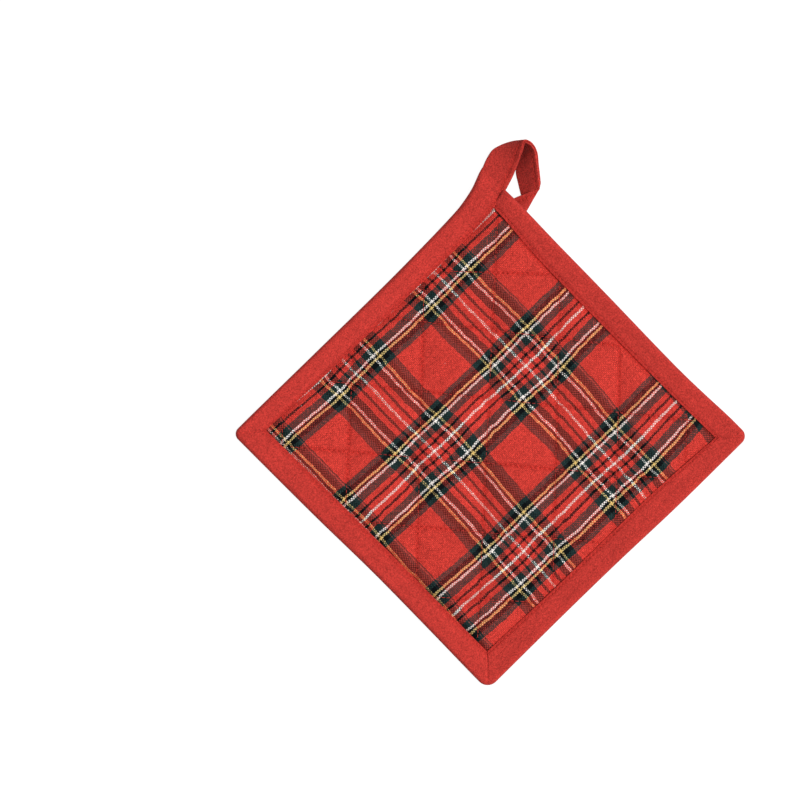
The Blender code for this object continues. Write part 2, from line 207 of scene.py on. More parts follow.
SideRow = namedtuple("SideRow", "along outer inner")
SIDE_ROWS = {side: [SideRow(*row) for row in rows] for side, rows in {
    "east": ((-88.0, 99.9, 86.2), (-60.0, 98.8, 85.7), (-40.0, 98.6, 85.7), (10.0, 99.4, 85.7),
             (50.0, 99.8, 86.3), (88.9, 100.0, 88.5)),
    "south": ((-88.0, 98.5, 83.1), (-40.0, 98.6, 84.5), (0.0, 99.1, 84.9), (45.0, 100.3, 85.5),
              (88.0, 100.5, 87.9)),
    "west": ((-88.0, 100.0, 85.3), (-54.0, 99.5, 85.2), (-9.0, 99.2, 85.0), (36.0, 100.1, 85.2),
             (90.0, 100.4, 85.8)),
    "north": ((-88.0, 100.0, 88.4), (-33.0, 99.5, 86.7), (20.0, 99.1, 85.7), (55.0, 99.6, 85.5),
              (75.0, 100.5, 85.8), (87.0, 102.8, 86.8), (100.2, 107.2, 89.3)),
}.items()}
OUTWARD = {"east": (1.0, 0.0), "south": (0.0, -1.0), "west": (-1.0, 0.0), "north": (0.0, 1.0)}


def smooth_step(value):
    value = np.clip(value, 0.0, 1.0)
    return value * value * (3.0 - 2.0 * value)


def corner_lift(x, y):
    """How far the pad rides up where it lies on the loop's sewn end."""
    away = np.hypot(x - LIFT_CENTRE[0], y - LIFT_CENTRE[1]) / LIFT_RADIUS
    return LIFT_HEIGHT * np.clip(1.0 - away ** 2, 0.0, None) ** 2


def line_shares(x, y):
    """For each family, 0 on a quilting line and growing to 1 at the next one."""
    shares = []
    point = np.arange(len(x))
    for lines in QUILTING.values():
        intercept, slope = np.array(lines).T[:, :, None]
        offsets = y[None, :] - intercept - slope * x[None, :]
        index = np.clip((offsets <= 1e-4).sum(axis=0) - 1, 0, len(lines) - 2)
        first, second = offsets[index, point], offsets[index + 1, point]
        shares.append(first / (first - second))
    return shares


def nearest_line(x, y):
    """Share of a diamond's width to the nearest quilting line."""
    return np.minimum(*[np.minimum(share, 1.0 - share) for share in line_shares(x, y)])


def inside_rim(x, y):
    """Distance in from the binding's inner edge; negative under the binding."""
    return np.minimum.reduce([x - FACE_RIM.west, FACE_RIM.east - x, y - FACE_RIM.south, FACE_RIM.north - y])


def binding_gaps(x, y):
    """Distance in from the strip's own inner edge, which isn't straight, on each side."""
    gaps = []
    for side, (out_x, out_y) in OUTWARD.items():
        places = np.array(SIDE_ROWS[side])
        gaps.append(np.interp(y if out_x else x, places[:, 0], places[:, 2]) - (out_x * x + out_y * y))
    return np.array(gaps)


print("quilting lines that reach the face:", {seam: len(lines) - 2 for seam, lines in QUILTING.items()})

# %% [markdown]
# ## The face, simulated as cloth
#
# A maker stitches flat cloth through soft wadding, so between the lines the cloth is a little longer than
# the gap it spans and the wadding pushes it up. Blender's Cloth does the same: a sheet whose points follow
# the quilting lines is pinned along them, grown by a few percent and blown up from below. It gives the
# low diamonds and the small puckers beside the stitches that no smooth formula has. The sheet is
# simulated ten times too large, because Cloth settles best near the size of clothes.

# %% A sheet with points along every quilting line
SHEET_STEPS = 20                      # points from one quilting line to the next
CROWDING = 0.55                       # how much closer they stand beside a line than midway
SHEET_REACH = 103.0                   # diamonds beyond this are left out before the sheet is cut
CUT_MERGE = 0.02
POINT_MERGE = 0.35
SEWN_SHARE = 0.012                    # points this near a line, as a share of a diamond, are on it
SEWN_EDGE = 0.05


def fine_lines(lines):
    fine = []
    for start, end in zip(lines, lines[1:]):
        for step in range(SHEET_STEPS):
            turn = 2.0 * math.pi * step / SHEET_STEPS
            share = step / SHEET_STEPS - CROWDING * math.sin(turn) / (2.0 * math.pi)
            fine.append([a + (b - a) * share for a, b in zip(start, end)])
    fine.append(list(lines[-1]))
    return np.array(fine)


def flat_sheet():
    """The pad's outline as a flat mesh of small diamonds, cut along the binding's inner edge."""
    rising, falling = (fine_lines(lines) for lines in QUILTING.values())
    x = (falling[None, :, 0] - rising[:, None, 0]) / (rising[:, None, 1] - falling[None, :, 1])
    y = rising[:, None, 0] + rising[:, None, 1] * x
    shape = bmesh.new()
    rows = [[shape.verts.new((a, b, 0.0)) for a, b in zip(*row)] for row in zip(x, y)]
    for first, second in zip(rows, rows[1:]):
        for index in range(len(first) - 1):
            corners = (first[index], first[index + 1], second[index + 1], second[index])
            if max(max(abs(v.co.x), abs(v.co.y)) for v in corners) < SHEET_REACH:
                shape.faces.new(corners)
    bmesh.ops.delete(shape, geom=[v for v in shape.verts if not v.link_faces], context="VERTS")

    def cut(point, outward, keep):
        bmesh.ops.bisect_plane(shape, geom=shape.verts[:] + shape.edges[:] + shape.faces[:], dist=CUT_MERGE,
                               plane_co=(*point, 0.0), plane_no=(*outward, 0.0), clear_outer=not keep)

    for edges, keep in ((PAD_RIM, False), (FACE_RIM, True)):
        for side, distance in zip(edges._fields, edges):
            cut([abs(part) * distance for part in OUTWARD[side]], OUTWARD[side], keep)
    for x, y, sign_x, sign_y in RIM_CORNERS:
        cut((x - sign_x * RIM_CHAMFER, y), (sign_x, sign_y), False)
    bmesh.ops.remove_doubles(shape, verts=shape.verts[:], dist=POINT_MERGE)
    bmesh.ops.recalc_face_normals(shape, faces=shape.faces[:])
    mesh = bpy.data.meshes.new("face_sheet")
    shape.to_mesh(mesh)
    shape.free()
    return mesh


sheet_mesh = flat_sheet()
sheet = np.array([v.co for v in sheet_mesh.vertices])
sheet_faces = [tuple(p.vertices) for p in sheet_mesh.polygons]
if sheet_mesh.polygons[0].normal.z < 0.0:
    sheet_faces = [face[::-1] for face in sheet_faces]
sheet_x, sheet_y = sheet[:, 0], sheet[:, 1]
pinned = (nearest_line(sheet_x, sheet_y) < SEWN_SHARE) | (inside_rim(sheet_x, sheet_y) < SEWN_EDGE)
print("face sheet:", len(sheet), "points,", int(pinned.sum()), "of them sewn down")

# %% Blow the sheet up between its seams
SIM_SCALE = 10.0
SIM_FRAMES = 14
CLOTH_GROWTH = 0.026                  # extra cloth between the lines
CLOTH_STIFFNESS = 15.0
CLOTH_BENDING = 0.1
WADDING_PRESSURE = 20.0
START_LIFT = 0.3                      # the points between the seams start a little way up
PUFF_LIMIT = 1.9
PUFF_POWER = 1.25
SLIDE_LIMIT = 0.9


def simulate_face():
    """Where each point of the sheet goes, as an array like sheet."""
    start = sheet.copy()
    start[~pinned, 2] = START_LIFT
    cloth_object = mesh_object("face_sheet_sim", start, sheet_faces, scale=MILLIMETRE * SIM_SCALE)
    seams = cloth_object.vertex_groups.new(name="seams")
    seams.add([int(i) for i in np.flatnonzero(pinned)], 1.0, "REPLACE")
    modifier = cloth_object.modifiers.new("cloth", "CLOTH")
    settings = modifier.settings
    for name, value in {
            "quality": 5, "mass": 0.05, "tension_stiffness": CLOTH_STIFFNESS,
            "compression_stiffness": CLOTH_STIFFNESS, "shear_stiffness": CLOTH_STIFFNESS * 0.3,
            "bending_stiffness": CLOTH_BENDING, "use_pressure": True,
            "uniform_pressure_force": WADDING_PRESSURE, "shrink_min": -CLOTH_GROWTH,
            "vertex_group_mass": seams.name}.items():
        setattr(settings, name, value)
    settings.effector_weights.gravity = 0.0
    modifier.collision_settings.use_self_collision = False
    modifier.point_cache.frame_start = 1
    modifier.point_cache.frame_end = SIM_FRAMES
    for number in range(1, SIM_FRAMES + 1):
        bpy.context.scene.frame_set(number)
    settled = cloth_object.evaluated_get(bpy.context.evaluated_depsgraph_get())
    places = np.empty(len(sheet) * 3)
    settled.data.vertices.foreach_get("co", places)
    bpy.context.scene.frame_set(1)
    bpy.data.objects.remove(cloth_object, do_unlink=True)
    return places.reshape(-1, 3) / (MILLIMETRE * SIM_SCALE)


blown = simulate_face()
# thin wadding gives low puffs that leave their seams gently
swell = np.clip(blown[:, 2], 0.0, None)
blown[:, 2] = PUFF_LIMIT * (swell / swell.max()) ** PUFF_POWER
moved = blown - sheet
moved[:, :2] = np.clip(moved[:, :2], -SLIDE_LIMIT, SLIDE_LIMIT)
moved[pinned] = 0.0
print("puffs rise", round(float(moved[:, 2].max()), 2), "mm; cloth slides",
      round(float(np.abs(moved[:, :2]).max()), 2), "mm at most")

# %% [markdown]
# ## The pad
#
# The simulated face and a flat back make one closed, padded piece. The face is pressed down to the rim
# under the binding, and the back lies flat but for shallow channels where the thread pulls it in. One
# level of subdivision rounds both. Face and back carry different cloth, so the mesh has two materials.

# %% Close the pad and round it
def freeze(item):
    """Turn what an object's modifiers make into its own plain, smooth mesh."""
    evaluated = item.evaluated_get(bpy.context.evaluated_depsgraph_get())
    finished = bpy.data.meshes.new_from_object(evaluated)
    item.modifiers.clear()
    item.data = finished
    item.data.shade_smooth()


def make_pad(face_cloth, back_cloth):
    lift = corner_lift(sheet_x, sheet_y)
    top = sheet + moved
    edge = smooth_step(binding_gaps(sheet_x, sheet_y).min(axis=0) / EDGE_SLOPE)
    top[:, 2] += EDGE_LEVEL + (STITCH_HEIGHT - EDGE_LEVEL) * edge
    top[:, 2] += lift
    channel = BACK_CHANNEL * np.clip(1.0 - nearest_line(sheet_x, sheet_y) / BACK_CHANNEL_WIDTH, 0.0, 1.0)
    back_free = np.clip(3.0 * smooth_step(inside_rim(sheet_x, sheet_y) / RIM_SLOPE), 0.0, 1.0)
    bottom = sheet.copy()
    bottom[:, 2] = RIM_LOW + (channel - RIM_LOW) * back_free + lift
    count = len(sheet)
    faces = list(sheet_faces) + [tuple(i + count for i in face[::-1]) for face in sheet_faces]
    edge_use = {}
    for face in sheet_faces:
        for a, b in zip(face, face[1:] + face[:1]):
            edge_use.setdefault((min(a, b), max(a, b)), []).append((a, b))
    walls = [(b, a, a + count, b + count) for uses in edge_use.values() if len(uses) == 1 for a, b in uses]
    pad = mesh_object("quilted_pad", np.vstack([top, bottom]), faces + walls)
    slots = np.zeros(len(pad.data.polygons), int)
    slots[len(sheet_faces):] = 1
    pad.data.materials.append(face_cloth)
    pad.data.materials.append(back_cloth)
    pad.data.polygons.foreach_set("material_index", slots)
    rounding = pad.modifiers.new("rounding", "SUBSURF")
    rounding.levels = rounding.render_levels = 1
    freeze(pad)
    return pad


# %% [markdown]
# ## Cloth shaders
#
# Close up, both cloths are plain weaves: each yarn passes over one and under the next. One node group
# draws any such weave from coordinates that count yarns, across for the warp and up for the weft. It
# gives which yarn is on top, the number of both yarns, a height for the bump, and the fine streaks of
# the fibres along whichever yarn shows. No two crossings are equally wide or bright. The same group
# serves face, back and strip.

# %% Helpers for node trees
FLOAT, VECTOR, COLOUR = "NodeSocketFloat", "NodeSocketVector", "NodeSocketColor"


def srgb(red, green, blue):
    """A colour as a paint program shows it, 0 to 255, in the linear values that shaders want."""
    def linear(value):
        value /= 255.0
        return value / 12.92 if value <= 0.04045 else ((value + 0.055) / 1.055) ** 2.4
    return (linear(red), linear(green), linear(blue), 1.0)


def darker(colour, share):
    return tuple(share * part for part in colour[:3]) + (1.0,)


class Bench:
    """Adds nodes to a tree. Every method takes sockets or plain values."""

    def __init__(self, tree):
        self.tree = tree

    def join(self, node, values):
        for key, value in dict(values).items():
            if isinstance(value, bpy.types.NodeSocket):
                self.tree.links.new(value, node.inputs[key])
            else:
                node.inputs[key].default_value = value

    def put(self, kind, inputs=(), **options):
        """A new node's outputs."""
        node = self.tree.nodes.new(kind)
        for name, value in options.items():
            setattr(node, name, value)
        self.join(node, inputs)
        return node.outputs

    def maths(self, operation, *values):
        return self.put("ShaderNodeMath", enumerate(values), operation=operation)[0]

    def times(self, first, second):
        return self.maths("MULTIPLY", first, second)

    def vector(self, operation, first, second):
        inputs = {0: first, "Scale" if operation == "SCALE" else 1: second}
        return self.put("ShaderNodeVectorMath", inputs, operation=operation)[0]

    def blend(self, share, first, second):
        return self.put("ShaderNodeMix", {0: share, 2: first, 3: second})[0]

    def mix(self, share, first, second):
        return self.put("ShaderNodeMix", {0: share, 6: first, 7: second}, data_type="RGBA")[2]

    def channel(self, colour, index):
        return self.put("ShaderNodeSeparateColor", {0: colour})[index]

    def range(self, value, *limits):
        """Map a value between two limits to two others."""
        return self.put("ShaderNodeMapRange", enumerate((value, *limits)))[0]

    def noise(self, place, scale, detail, **options):
        inputs = {"Vector": place, "Scale": scale, "Detail": detail}
        return self.put("ShaderNodeTexNoise", inputs, **options)

    def uv(self, name):
        return self.put("ShaderNodeUVMap", uv_map=name)[0]

    def group(self, tree, inputs):
        return self.put("ShaderNodeGroup", inputs, node_tree=tree)


def new_group(name, inputs, outputs, kind="ShaderNodeTree"):
    """A node group with named sockets; returns its bench, what it is given and its output node."""
    tree = bpy.data.node_groups.new(name, kind)
    for socket_name, socket_kind, default in inputs:
        socket = tree.interface.new_socket(socket_name, in_out="INPUT", socket_type=socket_kind)
        if default is not None:
            socket.default_value = default
    for socket_name, socket_kind in outputs:
        tree.interface.new_socket(socket_name, in_out="OUTPUT", socket_type=socket_kind)
    bench = Bench(tree)
    return bench, bench.put("NodeGroupInput"), tree.nodes.new("NodeGroupOutput")


print("bench ready")

# %% The weave of any of the cloths
WAVER_SCALE = 0.16                    # waves to the yarn
PATCH_SCALE = 0.3
WEFT_SHIFT = 531.0                    # keeps the weft's random shades apart from the warp's
STREAKS_ALONG, STREAKS_ACROSS = 0.9, 7.0


def make_weave_group():
    bench, given, out = new_group(
        "plain_weave",
        [("Yarns", VECTOR, None), ("Warp Width", FLOAT, 0.8), ("Waver", FLOAT, 1.6)],
        [("Warp On Top", FLOAT), ("Warp Number", FLOAT), ("Weft Number", FLOAT), ("Height", FLOAT),
         ("Yarn Shade", FLOAT), ("Fibres", FLOAT)])
    maths, times, blend = bench.maths, bench.times, bench.blend
    drift = bench.noise(given["Yarns"], WAVER_SCALE, 3.0, noise_dimensions="2D")
    centred = bench.vector("SUBTRACT", drift["Color"], (0.5, 0.5, 0.5))
    yarns = bench.vector("ADD", given["Yarns"], bench.vector("SCALE", centred, given["Waver"]))
    xyz = bench.put("ShaderNodeSeparateXYZ", {0: yarns})
    warp, weft = maths("FLOOR", xyz[0]), maths("FLOOR", xyz[1])
    across, up = maths("FRACT", xyz[0]), maths("FRACT", xyz[1])
    warp_up = maths("LESS_THAN", maths("FLOORED_MODULO", maths("ADD", warp, weft), 2.0), 1.0)
    warp_side, weft_side = (times(maths("ABSOLUTE", maths("SUBTRACT", place, 0.5)), 2.0)
                            for place in (across, up))

    # no two crossings are alike: the warp yarn's width varies from one to the next, and in patches
    crossing = bench.put("ShaderNodeTexWhiteNoise", {
        "Vector": bench.put("ShaderNodeCombineXYZ", {0: warp, 1: weft})[0]}, noise_dimensions="2D")["Value"]
    patches = bench.noise(yarns, PATCH_SCALE, 1.0)["Fac"]
    width = times(given["Warp Width"], times(bench.range(crossing, 0.0, 1.0, 0.5, 1.5),
                                             bench.range(patches, 0.3, 0.7, 0.7, 1.3)))
    on_top = times(warp_up, maths("LESS_THAN", warp_side, width))

    def roundness(side):
        return maths("SQRT", maths("MAXIMUM", maths("SUBTRACT", 1.0, times(side, side)), 0.0))

    def height(side, along):
        return times(roundness(side), maths("MULTIPLY_ADD", maths("SINE", times(along, math.pi)), 0.5, 0.5))

    warp_height = height(maths("MINIMUM", maths("DIVIDE", warp_side, width), 1.0), up)
    weft_height = times(height(weft_side, across), maths("SUBTRACT", 1.0, times(warp_up, 0.9)))

    number = blend(on_top, maths("ADD", weft, WEFT_SHIFT), warp)
    yarn = bench.put("ShaderNodeTexWhiteNoise", {"W": number}, noise_dimensions="1D")["Value"]
    streaked = bench.put("ShaderNodeCombineXYZ", {
        0: times(xyz[0], blend(on_top, STREAKS_ALONG, STREAKS_ACROSS)),
        1: times(xyz[1], blend(on_top, STREAKS_ACROSS, STREAKS_ALONG)), 2: number})[0]
    bench.join(out, {
        "Warp On Top": on_top, "Warp Number": warp, "Weft Number": weft,
        "Height": blend(on_top, weft_height, warp_height),
        "Yarn Shade": maths("MULTIPLY_ADD", crossing, 0.45, times(yarn, 0.55)),
        "Fibres": bench.noise(streaked, 1.0, 2.0)["Fac"]})
    return bench.tree


weave_group = make_weave_group()
print("weave group:", len(weave_group.nodes), "nodes")

# %% [markdown]
# Cotton is never quite even. A second group, also shared by all the cloths, adds what handling does: a
# slow drift in brightness, lumpy yarns and rare pale specks of lint. It also paints shade into the gaps
# between the yarns, where the weave is low.

# %% Wear, lint and painted gap shade of cotton
LINT = (0.7, 0.5, 0.46, 1.0)
LINT_SCALE = 110.0                    # this scale and the next three count cells or waves in a metre
SLOW_SCALE = 60.0
MOTTLE_SCALE = 1300.0
LUMP_SCALE = 900.0
LINT_SHARE = 0.12


def make_cotton_group():
    bench, given, out = new_group(
        "cotton_wear_and_gap_shade",
        [("Place", VECTOR, None), ("Colour", COLOUR, None), ("Weave Height", FLOAT, 0.5),
         ("Yarn Shade", FLOAT, 0.5), ("Fibres", FLOAT, 0.5), ("Depth", FLOAT, 0.45)],
        [("Colour", COLOUR), ("Height", FLOAT)])
    maths, times = bench.maths, bench.times

    def field(scale, detail):
        return bench.noise(given["Place"], scale, detail)["Fac"]

    drift = bench.range(field(SLOW_SCALE, 3.0), 0.3, 0.7, 0.94, 1.06)
    mottle = bench.range(field(MOTTLE_SCALE, 2.0), 0.3, 0.7, 0.76, 1.24)
    yarn = bench.range(given["Yarn Shade"], 0.0, 1.0, 0.84, 1.16)
    fibres = bench.range(given["Fibres"], 0.3, 0.7, 0.85, 1.12)
    # painted shade: the gaps between the yarns, where the weave is low, are darkened
    low = maths("SUBTRACT", 1.0, times(maths("SUBTRACT", 1.0, given["Weave Height"]), given["Depth"]))
    brightness = times(times(drift, mottle), times(times(yarn, fibres), low))
    cells = bench.put("ShaderNodeTexVoronoi", {"Vector": given["Place"], "Scale": LINT_SCALE})
    rare = maths("LESS_THAN", bench.channel(cells["Color"], 0), LINT_SHARE)
    speck = times(rare, bench.range(cells["Distance"], 0.02, 0.035, 0.5, 0.0))
    lumps = maths("MULTIPLY_ADD", field(LUMP_SCALE, 1.0), 0.5, times(given["Fibres"], 0.25))
    bench.join(out, {
        "Colour": bench.mix(speck, bench.vector("SCALE", given["Colour"], brightness), LINT),
        "Height": maths("ADD", given["Weave Height"], lumps)})
    return bench.tree


cotton_group = make_cotton_group()
print("cotton group:", len(cotton_group.nodes), "nodes")

# %% [markdown]
# Every stitch leaves a needle hole at each end, and pulls the cloth into a crease. Seen from above these
# show more than the thread does: a quilting line on plain red is a row of soft dots in a darker, deeper
# red, because light that reaches the fold has been from red cloth to red cloth. The shaders paint that
# shade in as a deep red, and dent the bump at the holes. The meshes carry how far each point lies along
# and beside its seam, so one small group can place the holes between the stitches and the creases beside
# them, and the stitches themselves are set at the same places later on.

# %% Needle holes along a seam
QUILT_PITCH = 2.7                     # millimetres from one quilting stitch to the next
STRIP_PITCH = 2.6                     # and along the strip's seam
HOLE_EDGE = (0.25, 0.95)              # millimetres from a hole's middle to where it starts and stops fading
CREASE_EDGE = (0.3, 2.2)              # and from a seam's


def make_holes_group():
    bench, given, out = new_group("needle_holes", [("Seam", VECTOR, None), ("Pitch", FLOAT, QUILT_PITCH)],
                                  [("Hole", FLOAT), ("Crease", FLOAT)])
    maths, times = bench.maths, bench.times
    xyz = bench.put("ShaderNodeSeparateXYZ", {0: given["Seam"]})
    stitch = maths("FRACT", maths("DIVIDE", xyz[0], given["Pitch"]))
    along = times(maths("SUBTRACT", stitch, 0.5), given["Pitch"])
    away = maths("SQRT", maths("ADD", times(along, along), times(xyz[1], xyz[1])))
    bench.join(out, {"Hole": bench.range(away, *HOLE_EDGE, 1.0, 0.0),
                     "Crease": bench.range(xyz[1], *CREASE_EDGE, 1.0, 0.0)})
    return bench.tree


holes_group = make_holes_group()
print("needle holes every", QUILT_PITCH, "mm of quilting and", STRIP_PITCH, "mm of strip")

# %% [markdown]
# ## The tartan
#
# A tartan is one list of stripes, its sett, used for the warp and again for the weft, and mirrored about
# the white line in its middle. The lists count yarns from that line outwards, as a weaver's chart does.
# Each colour ramp holds one list, and a yarn's distance from the nearest white line picks its colour. The
# warp's green and black are darker than the weft's.

# %% The sett, charted in yarns
Stripe = namedtuple("Stripe", "colour yarns")
WARP_SETT = [Stripe(*row) for row in (
    ("white", 1), ("red", 4), ("coal", 2), ("red", 4), ("bottle", 5), ("white", 2), ("coal", 2),
    ("yellow", 2), ("coal", 4), ("pine", 4), ("red", 17))]
WEFT_SETT = [Stripe(*row) for row in (
    ("white", 1), ("red", 4), ("black", 2), ("red", 4), ("green", 6), ("white", 2), ("black", 2),
    ("yellow", 2), ("black", 4), ("green", 4), ("red", 24))]
YARN_COLOURS = {
    "red": srgb(226, 88, 77),
    "green": srgb(50, 80, 79),
    "bottle": srgb(8, 22, 24),
    "pine": srgb(44, 60, 61),
    "black": srgb(12, 24, 30),
    "coal": srgb(4, 6, 9),
    "white": srgb(248, 242, 236),
    "yellow": srgb(240, 211, 140),
}
PALE_YARNS = (-66.0, 122.0)           # a paler yarn runs in these places of the warp
PALE_RED = srgb(215, 120, 110)
PALE_SHARE = 0.6
WARP_GAP = 0.735                      # millimetres from one warp yarn to the next
WEFT_GAP = 0.66
FINISH = {"Roughness": 0.92, "Specular IOR Level": 0.08, "Sheen Weight": 0.02, "Sheen Roughness": 0.5}
SEAM_SHADE_TINT = (0.7, 0.3, 0.25, 1.0)       # painted shade of a seam's creases and needle holes, a deep red as light bounced from red cloth to red cloth
# how dark the painted shade of the creases beside a seam is
CREASE_SHADE = 0.35
HOLE_DEPTH = 1.5
BUMP = 0.8
WEFT_SHADE_TINT = 0.61                  # share of a weft yarn's colour painted over, as shade and bounced light, with the warp beside it
WARP_SHADE_TINT = 0.58             # and of a warp yarn's, which stands higher
PALE_SHADE_TINT = 0.4              # and of a white yarn's, beside a red one
FUZZ = 0.1                            # share of a red yarn below that shows in the fibres of the one on top


def sett_ramp(bench, number, sett):
    """The colour of a yarn from its number, counted from the middle of a white line."""
    half_repeat = sum(stripe.yarns for stripe in sett)
    place = bench.maths("WRAP", bench.maths("ADD", number, 0.5), half_repeat, -half_repeat)
    place = bench.maths("DIVIDE", bench.maths("ABSOLUTE", place), half_repeat)
    picked = bench.put("ShaderNodeValToRGB", {0: place})[0]
    ramp = picked.node.color_ramp
    ramp.interpolation = "CONSTANT"
    done = 0.0
    for index, stripe in enumerate(sett):
        stop = ramp.elements[0] if index == 0 else ramp.elements.new(done / half_repeat)
        stop.color = YARN_COLOURS[stripe.colour]
        stop.position = done / half_repeat
        done += stripe.yarns
    ramp.elements.remove(ramp.elements[len(ramp.elements) - 1])
    return picked


def cloth_material(name, warp_width, colours, relief, gap_shade, hole_shade, seams, pitch):
    """A woven cotton: colours is a function of the bench and the weave's outputs, relief is in mm.

    gap_shade is how darkly shade is painted into the gaps between the yarns, and hole_shade how darkly into
    the needle holes."""
    material, shader = new_material(name, FINISH)
    bench = Bench(material.node_tree)
    weave = bench.group(weave_group, {"Yarns": bench.uv("yarns"), "Warp Width": warp_width})
    wear_and_shade = bench.group(cotton_group, {
        "Place": bench.put("ShaderNodeTexCoord")["Object"], "Depth": gap_shade, "Colour": colours(bench, weave),
        "Weave Height": weave["Height"], "Yarn Shade": weave["Yarn Shade"], "Fibres": weave["Fibres"]})
    hole, crease = 0.0, 0.0
    for seam in seams:
        holes = bench.group(holes_group, {"Seam": bench.uv(seam), "Pitch": pitch})
        hole = bench.maths("MAXIMUM", hole, holes["Hole"])
        crease = bench.maths("MAXIMUM", crease, holes["Crease"])
    # painted shade: the needle holes and the creases beside the seams are darkened to a deep red
    painted_seam_shade = bench.maths("MAXIMUM", bench.times(hole, hole_shade), bench.times(crease, CREASE_SHADE))
    height = bench.maths("MULTIPLY_ADD", hole, -HOLE_DEPTH, wear_and_shade["Height"])
    bench.join(shader, {
        "Base Color": bench.vector("MULTIPLY", wear_and_shade["Colour"], bench.mix(painted_seam_shade, WHITE, SEAM_SHADE_TINT)),
        "Normal": bench.put("ShaderNodeBump", {"Height": height, "Strength": BUMP,
                                               "Distance": relief * MILLIMETRE})[0]})
    return material


def tartan_colours(bench, weave):
    warp = sett_ramp(bench, weave["Warp Number"], WARP_SETT)
    pale = [bench.maths("COMPARE", weave["Warp Number"], number, 0.4) for number in PALE_YARNS]
    warp = bench.mix(bench.times(bench.maths("MAXIMUM", *pale), PALE_SHARE), warp, PALE_RED)
    weft = sett_ramp(bench, weave["Weft Number"], WEFT_SETT)
    on_top = weave["Warp On Top"]
    hidden = bench.mix(on_top, warp, weft)
    fuzz = bench.maths("MULTIPLY_ADD", bench.channel(hidden, 1), -FUZZ, FUZZ)
    shown = bench.mix(fuzz, bench.mix(on_top, weft, warp), hidden)
    # painted shade and bounced light: the yarn below darkens and tints the one on top, but a dark yarn
    # doesn't dull white
    shade_tint_share = bench.maths("MULTIPLY_ADD", on_top, WARP_SHADE_TINT - WEFT_SHADE_TINT, WEFT_SHADE_TINT)
    pale_shade_tint_share = bench.times(bench.channel(hidden, 0), PALE_SHADE_TINT)
    share = bench.blend(bench.channel(shown, 1), shade_tint_share, pale_shade_tint_share)
    return bench.vector("MULTIPLY", shown, bench.mix(share, WHITE, hidden))


tartan = cloth_material("red_tartan_cotton", 0.54, tartan_colours, relief=0.2, gap_shade=0.7, hole_shade=0.8,
                        seams=["rising_seam", "falling_seam", "binding_seam"], pitch=QUILT_PITCH)
print("sett repeats every", 2 * sum(s.yarns for s in WARP_SETT), "warp and",
      2 * sum(s.yarns for s in WEFT_SETT), "weft yarns")

# %% [markdown]
# The strip and the back are plain red cotton: the same weave group, finer, in one red both ways, which is
# a little darker on the warp.

# %% Plain red cotton
STRIP_RED = srgb(187, 54, 47)
PLAIN_YARN = 0.52                     # millimetres from one yarn to the next
WARP_SHADE = 0.92


def plain_colours(bench, weave):
    return bench.mix(weave["Warp On Top"], STRIP_RED, darker(STRIP_RED, WARP_SHADE))


red_cotton = cloth_material("red_strip_cotton", 0.9, plain_colours, relief=0.16, gap_shade=0.5, hole_shade=0.5,
                            seams=["seam"], pitch=STRIP_PITCH)
back_cotton = cloth_material("red_back_cotton", 0.9, plain_colours, relief=0.16, gap_shade=0.5, hole_shade=0.6,
                             seams=["rising_seam", "falling_seam"], pitch=QUILT_PITCH)
print("plain cotton:", round(10.0 / PLAIN_YARN), "yarns to the centimetre")

# %% [markdown]
# ## Following the stripes
#
# Quilting pulls the cloth about, so no stripe on the real face is straight. The stripes lean and bow
# together from edge to edge, sway by about a yarn over a few centimetres, and kink beside the seams. One
# middle line with a lean and a bow each way, and seeded noise for the rest, give each point of the mesh its
# two yarn numbers. They are kept as a UV map, and the tartan bends with them.

# %% Where the stripes run
StripeRun = namedtuple("StripeRun", "middle lean bow gap")
WARP_RUN = StripeRun(-29.5, 0.031, -0.00026, WARP_GAP)
WEFT_RUN = StripeRun(14.0, -0.019, 0.00014, WEFT_GAP)
SWAY_YARNS = 2.5                      # how far a stripe strays over a few centimetres
SWAY_LENGTH = 32.0
KINK_YARNS = 0.9                      # how far a stitch can pull a stripe aside
KINK_LENGTH = 6.0                     # and over how many millimetres
BINDING_SHADE_WIDTH = 1.6                      # the painted shadow and dent beside the binding are wider than a quilting line's
BINDING_SHADE_EASE = (0.0, 0.5, 0.0, 0.5)      # and shallower and paler on the south and north sides


def noise_over(points, length, seed):
    return np.array([noise.noise(Vector((x / length, y / length, seed))) for x, y, _ in points])


def yarn_numbers(run, points, along, across, seam_gap, seed):
    """The yarn under each point: along is its place on the yarn's own axis, across on the other."""
    line = run.middle + run.lean * along + run.bow * along ** 2
    sway = SWAY_YARNS * noise_over(points, SWAY_LENGTH, seed + 30.0)
    kinks = KINK_YARNS * noise_over(points, KINK_LENGTH, seed) * np.exp(-(seam_gap / KINK_LENGTH) ** 2)
    return (across - line) / run.gap + sway + kinks


def set_uv(mesh, name, per_corner):
    layer = mesh.uv_layers.new(name=name)
    layer.data.foreach_set("uv", np.ascontiguousarray(per_corner, np.float32).ravel())


def corner_indices(mesh):
    corners = np.empty(len(mesh.loops), int)
    mesh.loops.foreach_get("vertex_index", corners)
    return corners


def points_of(mesh):
    flat = np.empty(len(mesh.vertices) * 3)
    mesh.vertices.foreach_get("co", flat)
    return flat.reshape(-1, 3) / MILLIMETRE


def seam_places(lines, x, y):
    """Millimetres along and beside the nearest quilting line of a family."""
    intercept, slope = np.array(lines).T[:, :, None]
    long = np.hypot(1.0, slope)
    beside = np.abs(y - intercept - slope * x) / long
    nearest = beside.argmin(axis=0)
    point = np.arange(len(x))
    return np.column_stack([((x + slope * y) / long)[nearest, point], beside[nearest, point]])


def binding_places(x, y):
    """The same for the seam under the binding: it stays level with a hole, so its painted shadow and dent
    run as one unbroken line.
    """
    gaps = (binding_gaps(x, y) / BINDING_SHADE_WIDTH + np.array(BINDING_SHADE_EASE)[:, None]).min(axis=0)
    return np.column_stack([np.full(len(x), QUILT_PITCH / 2.0), np.maximum(gaps, 0.0)])


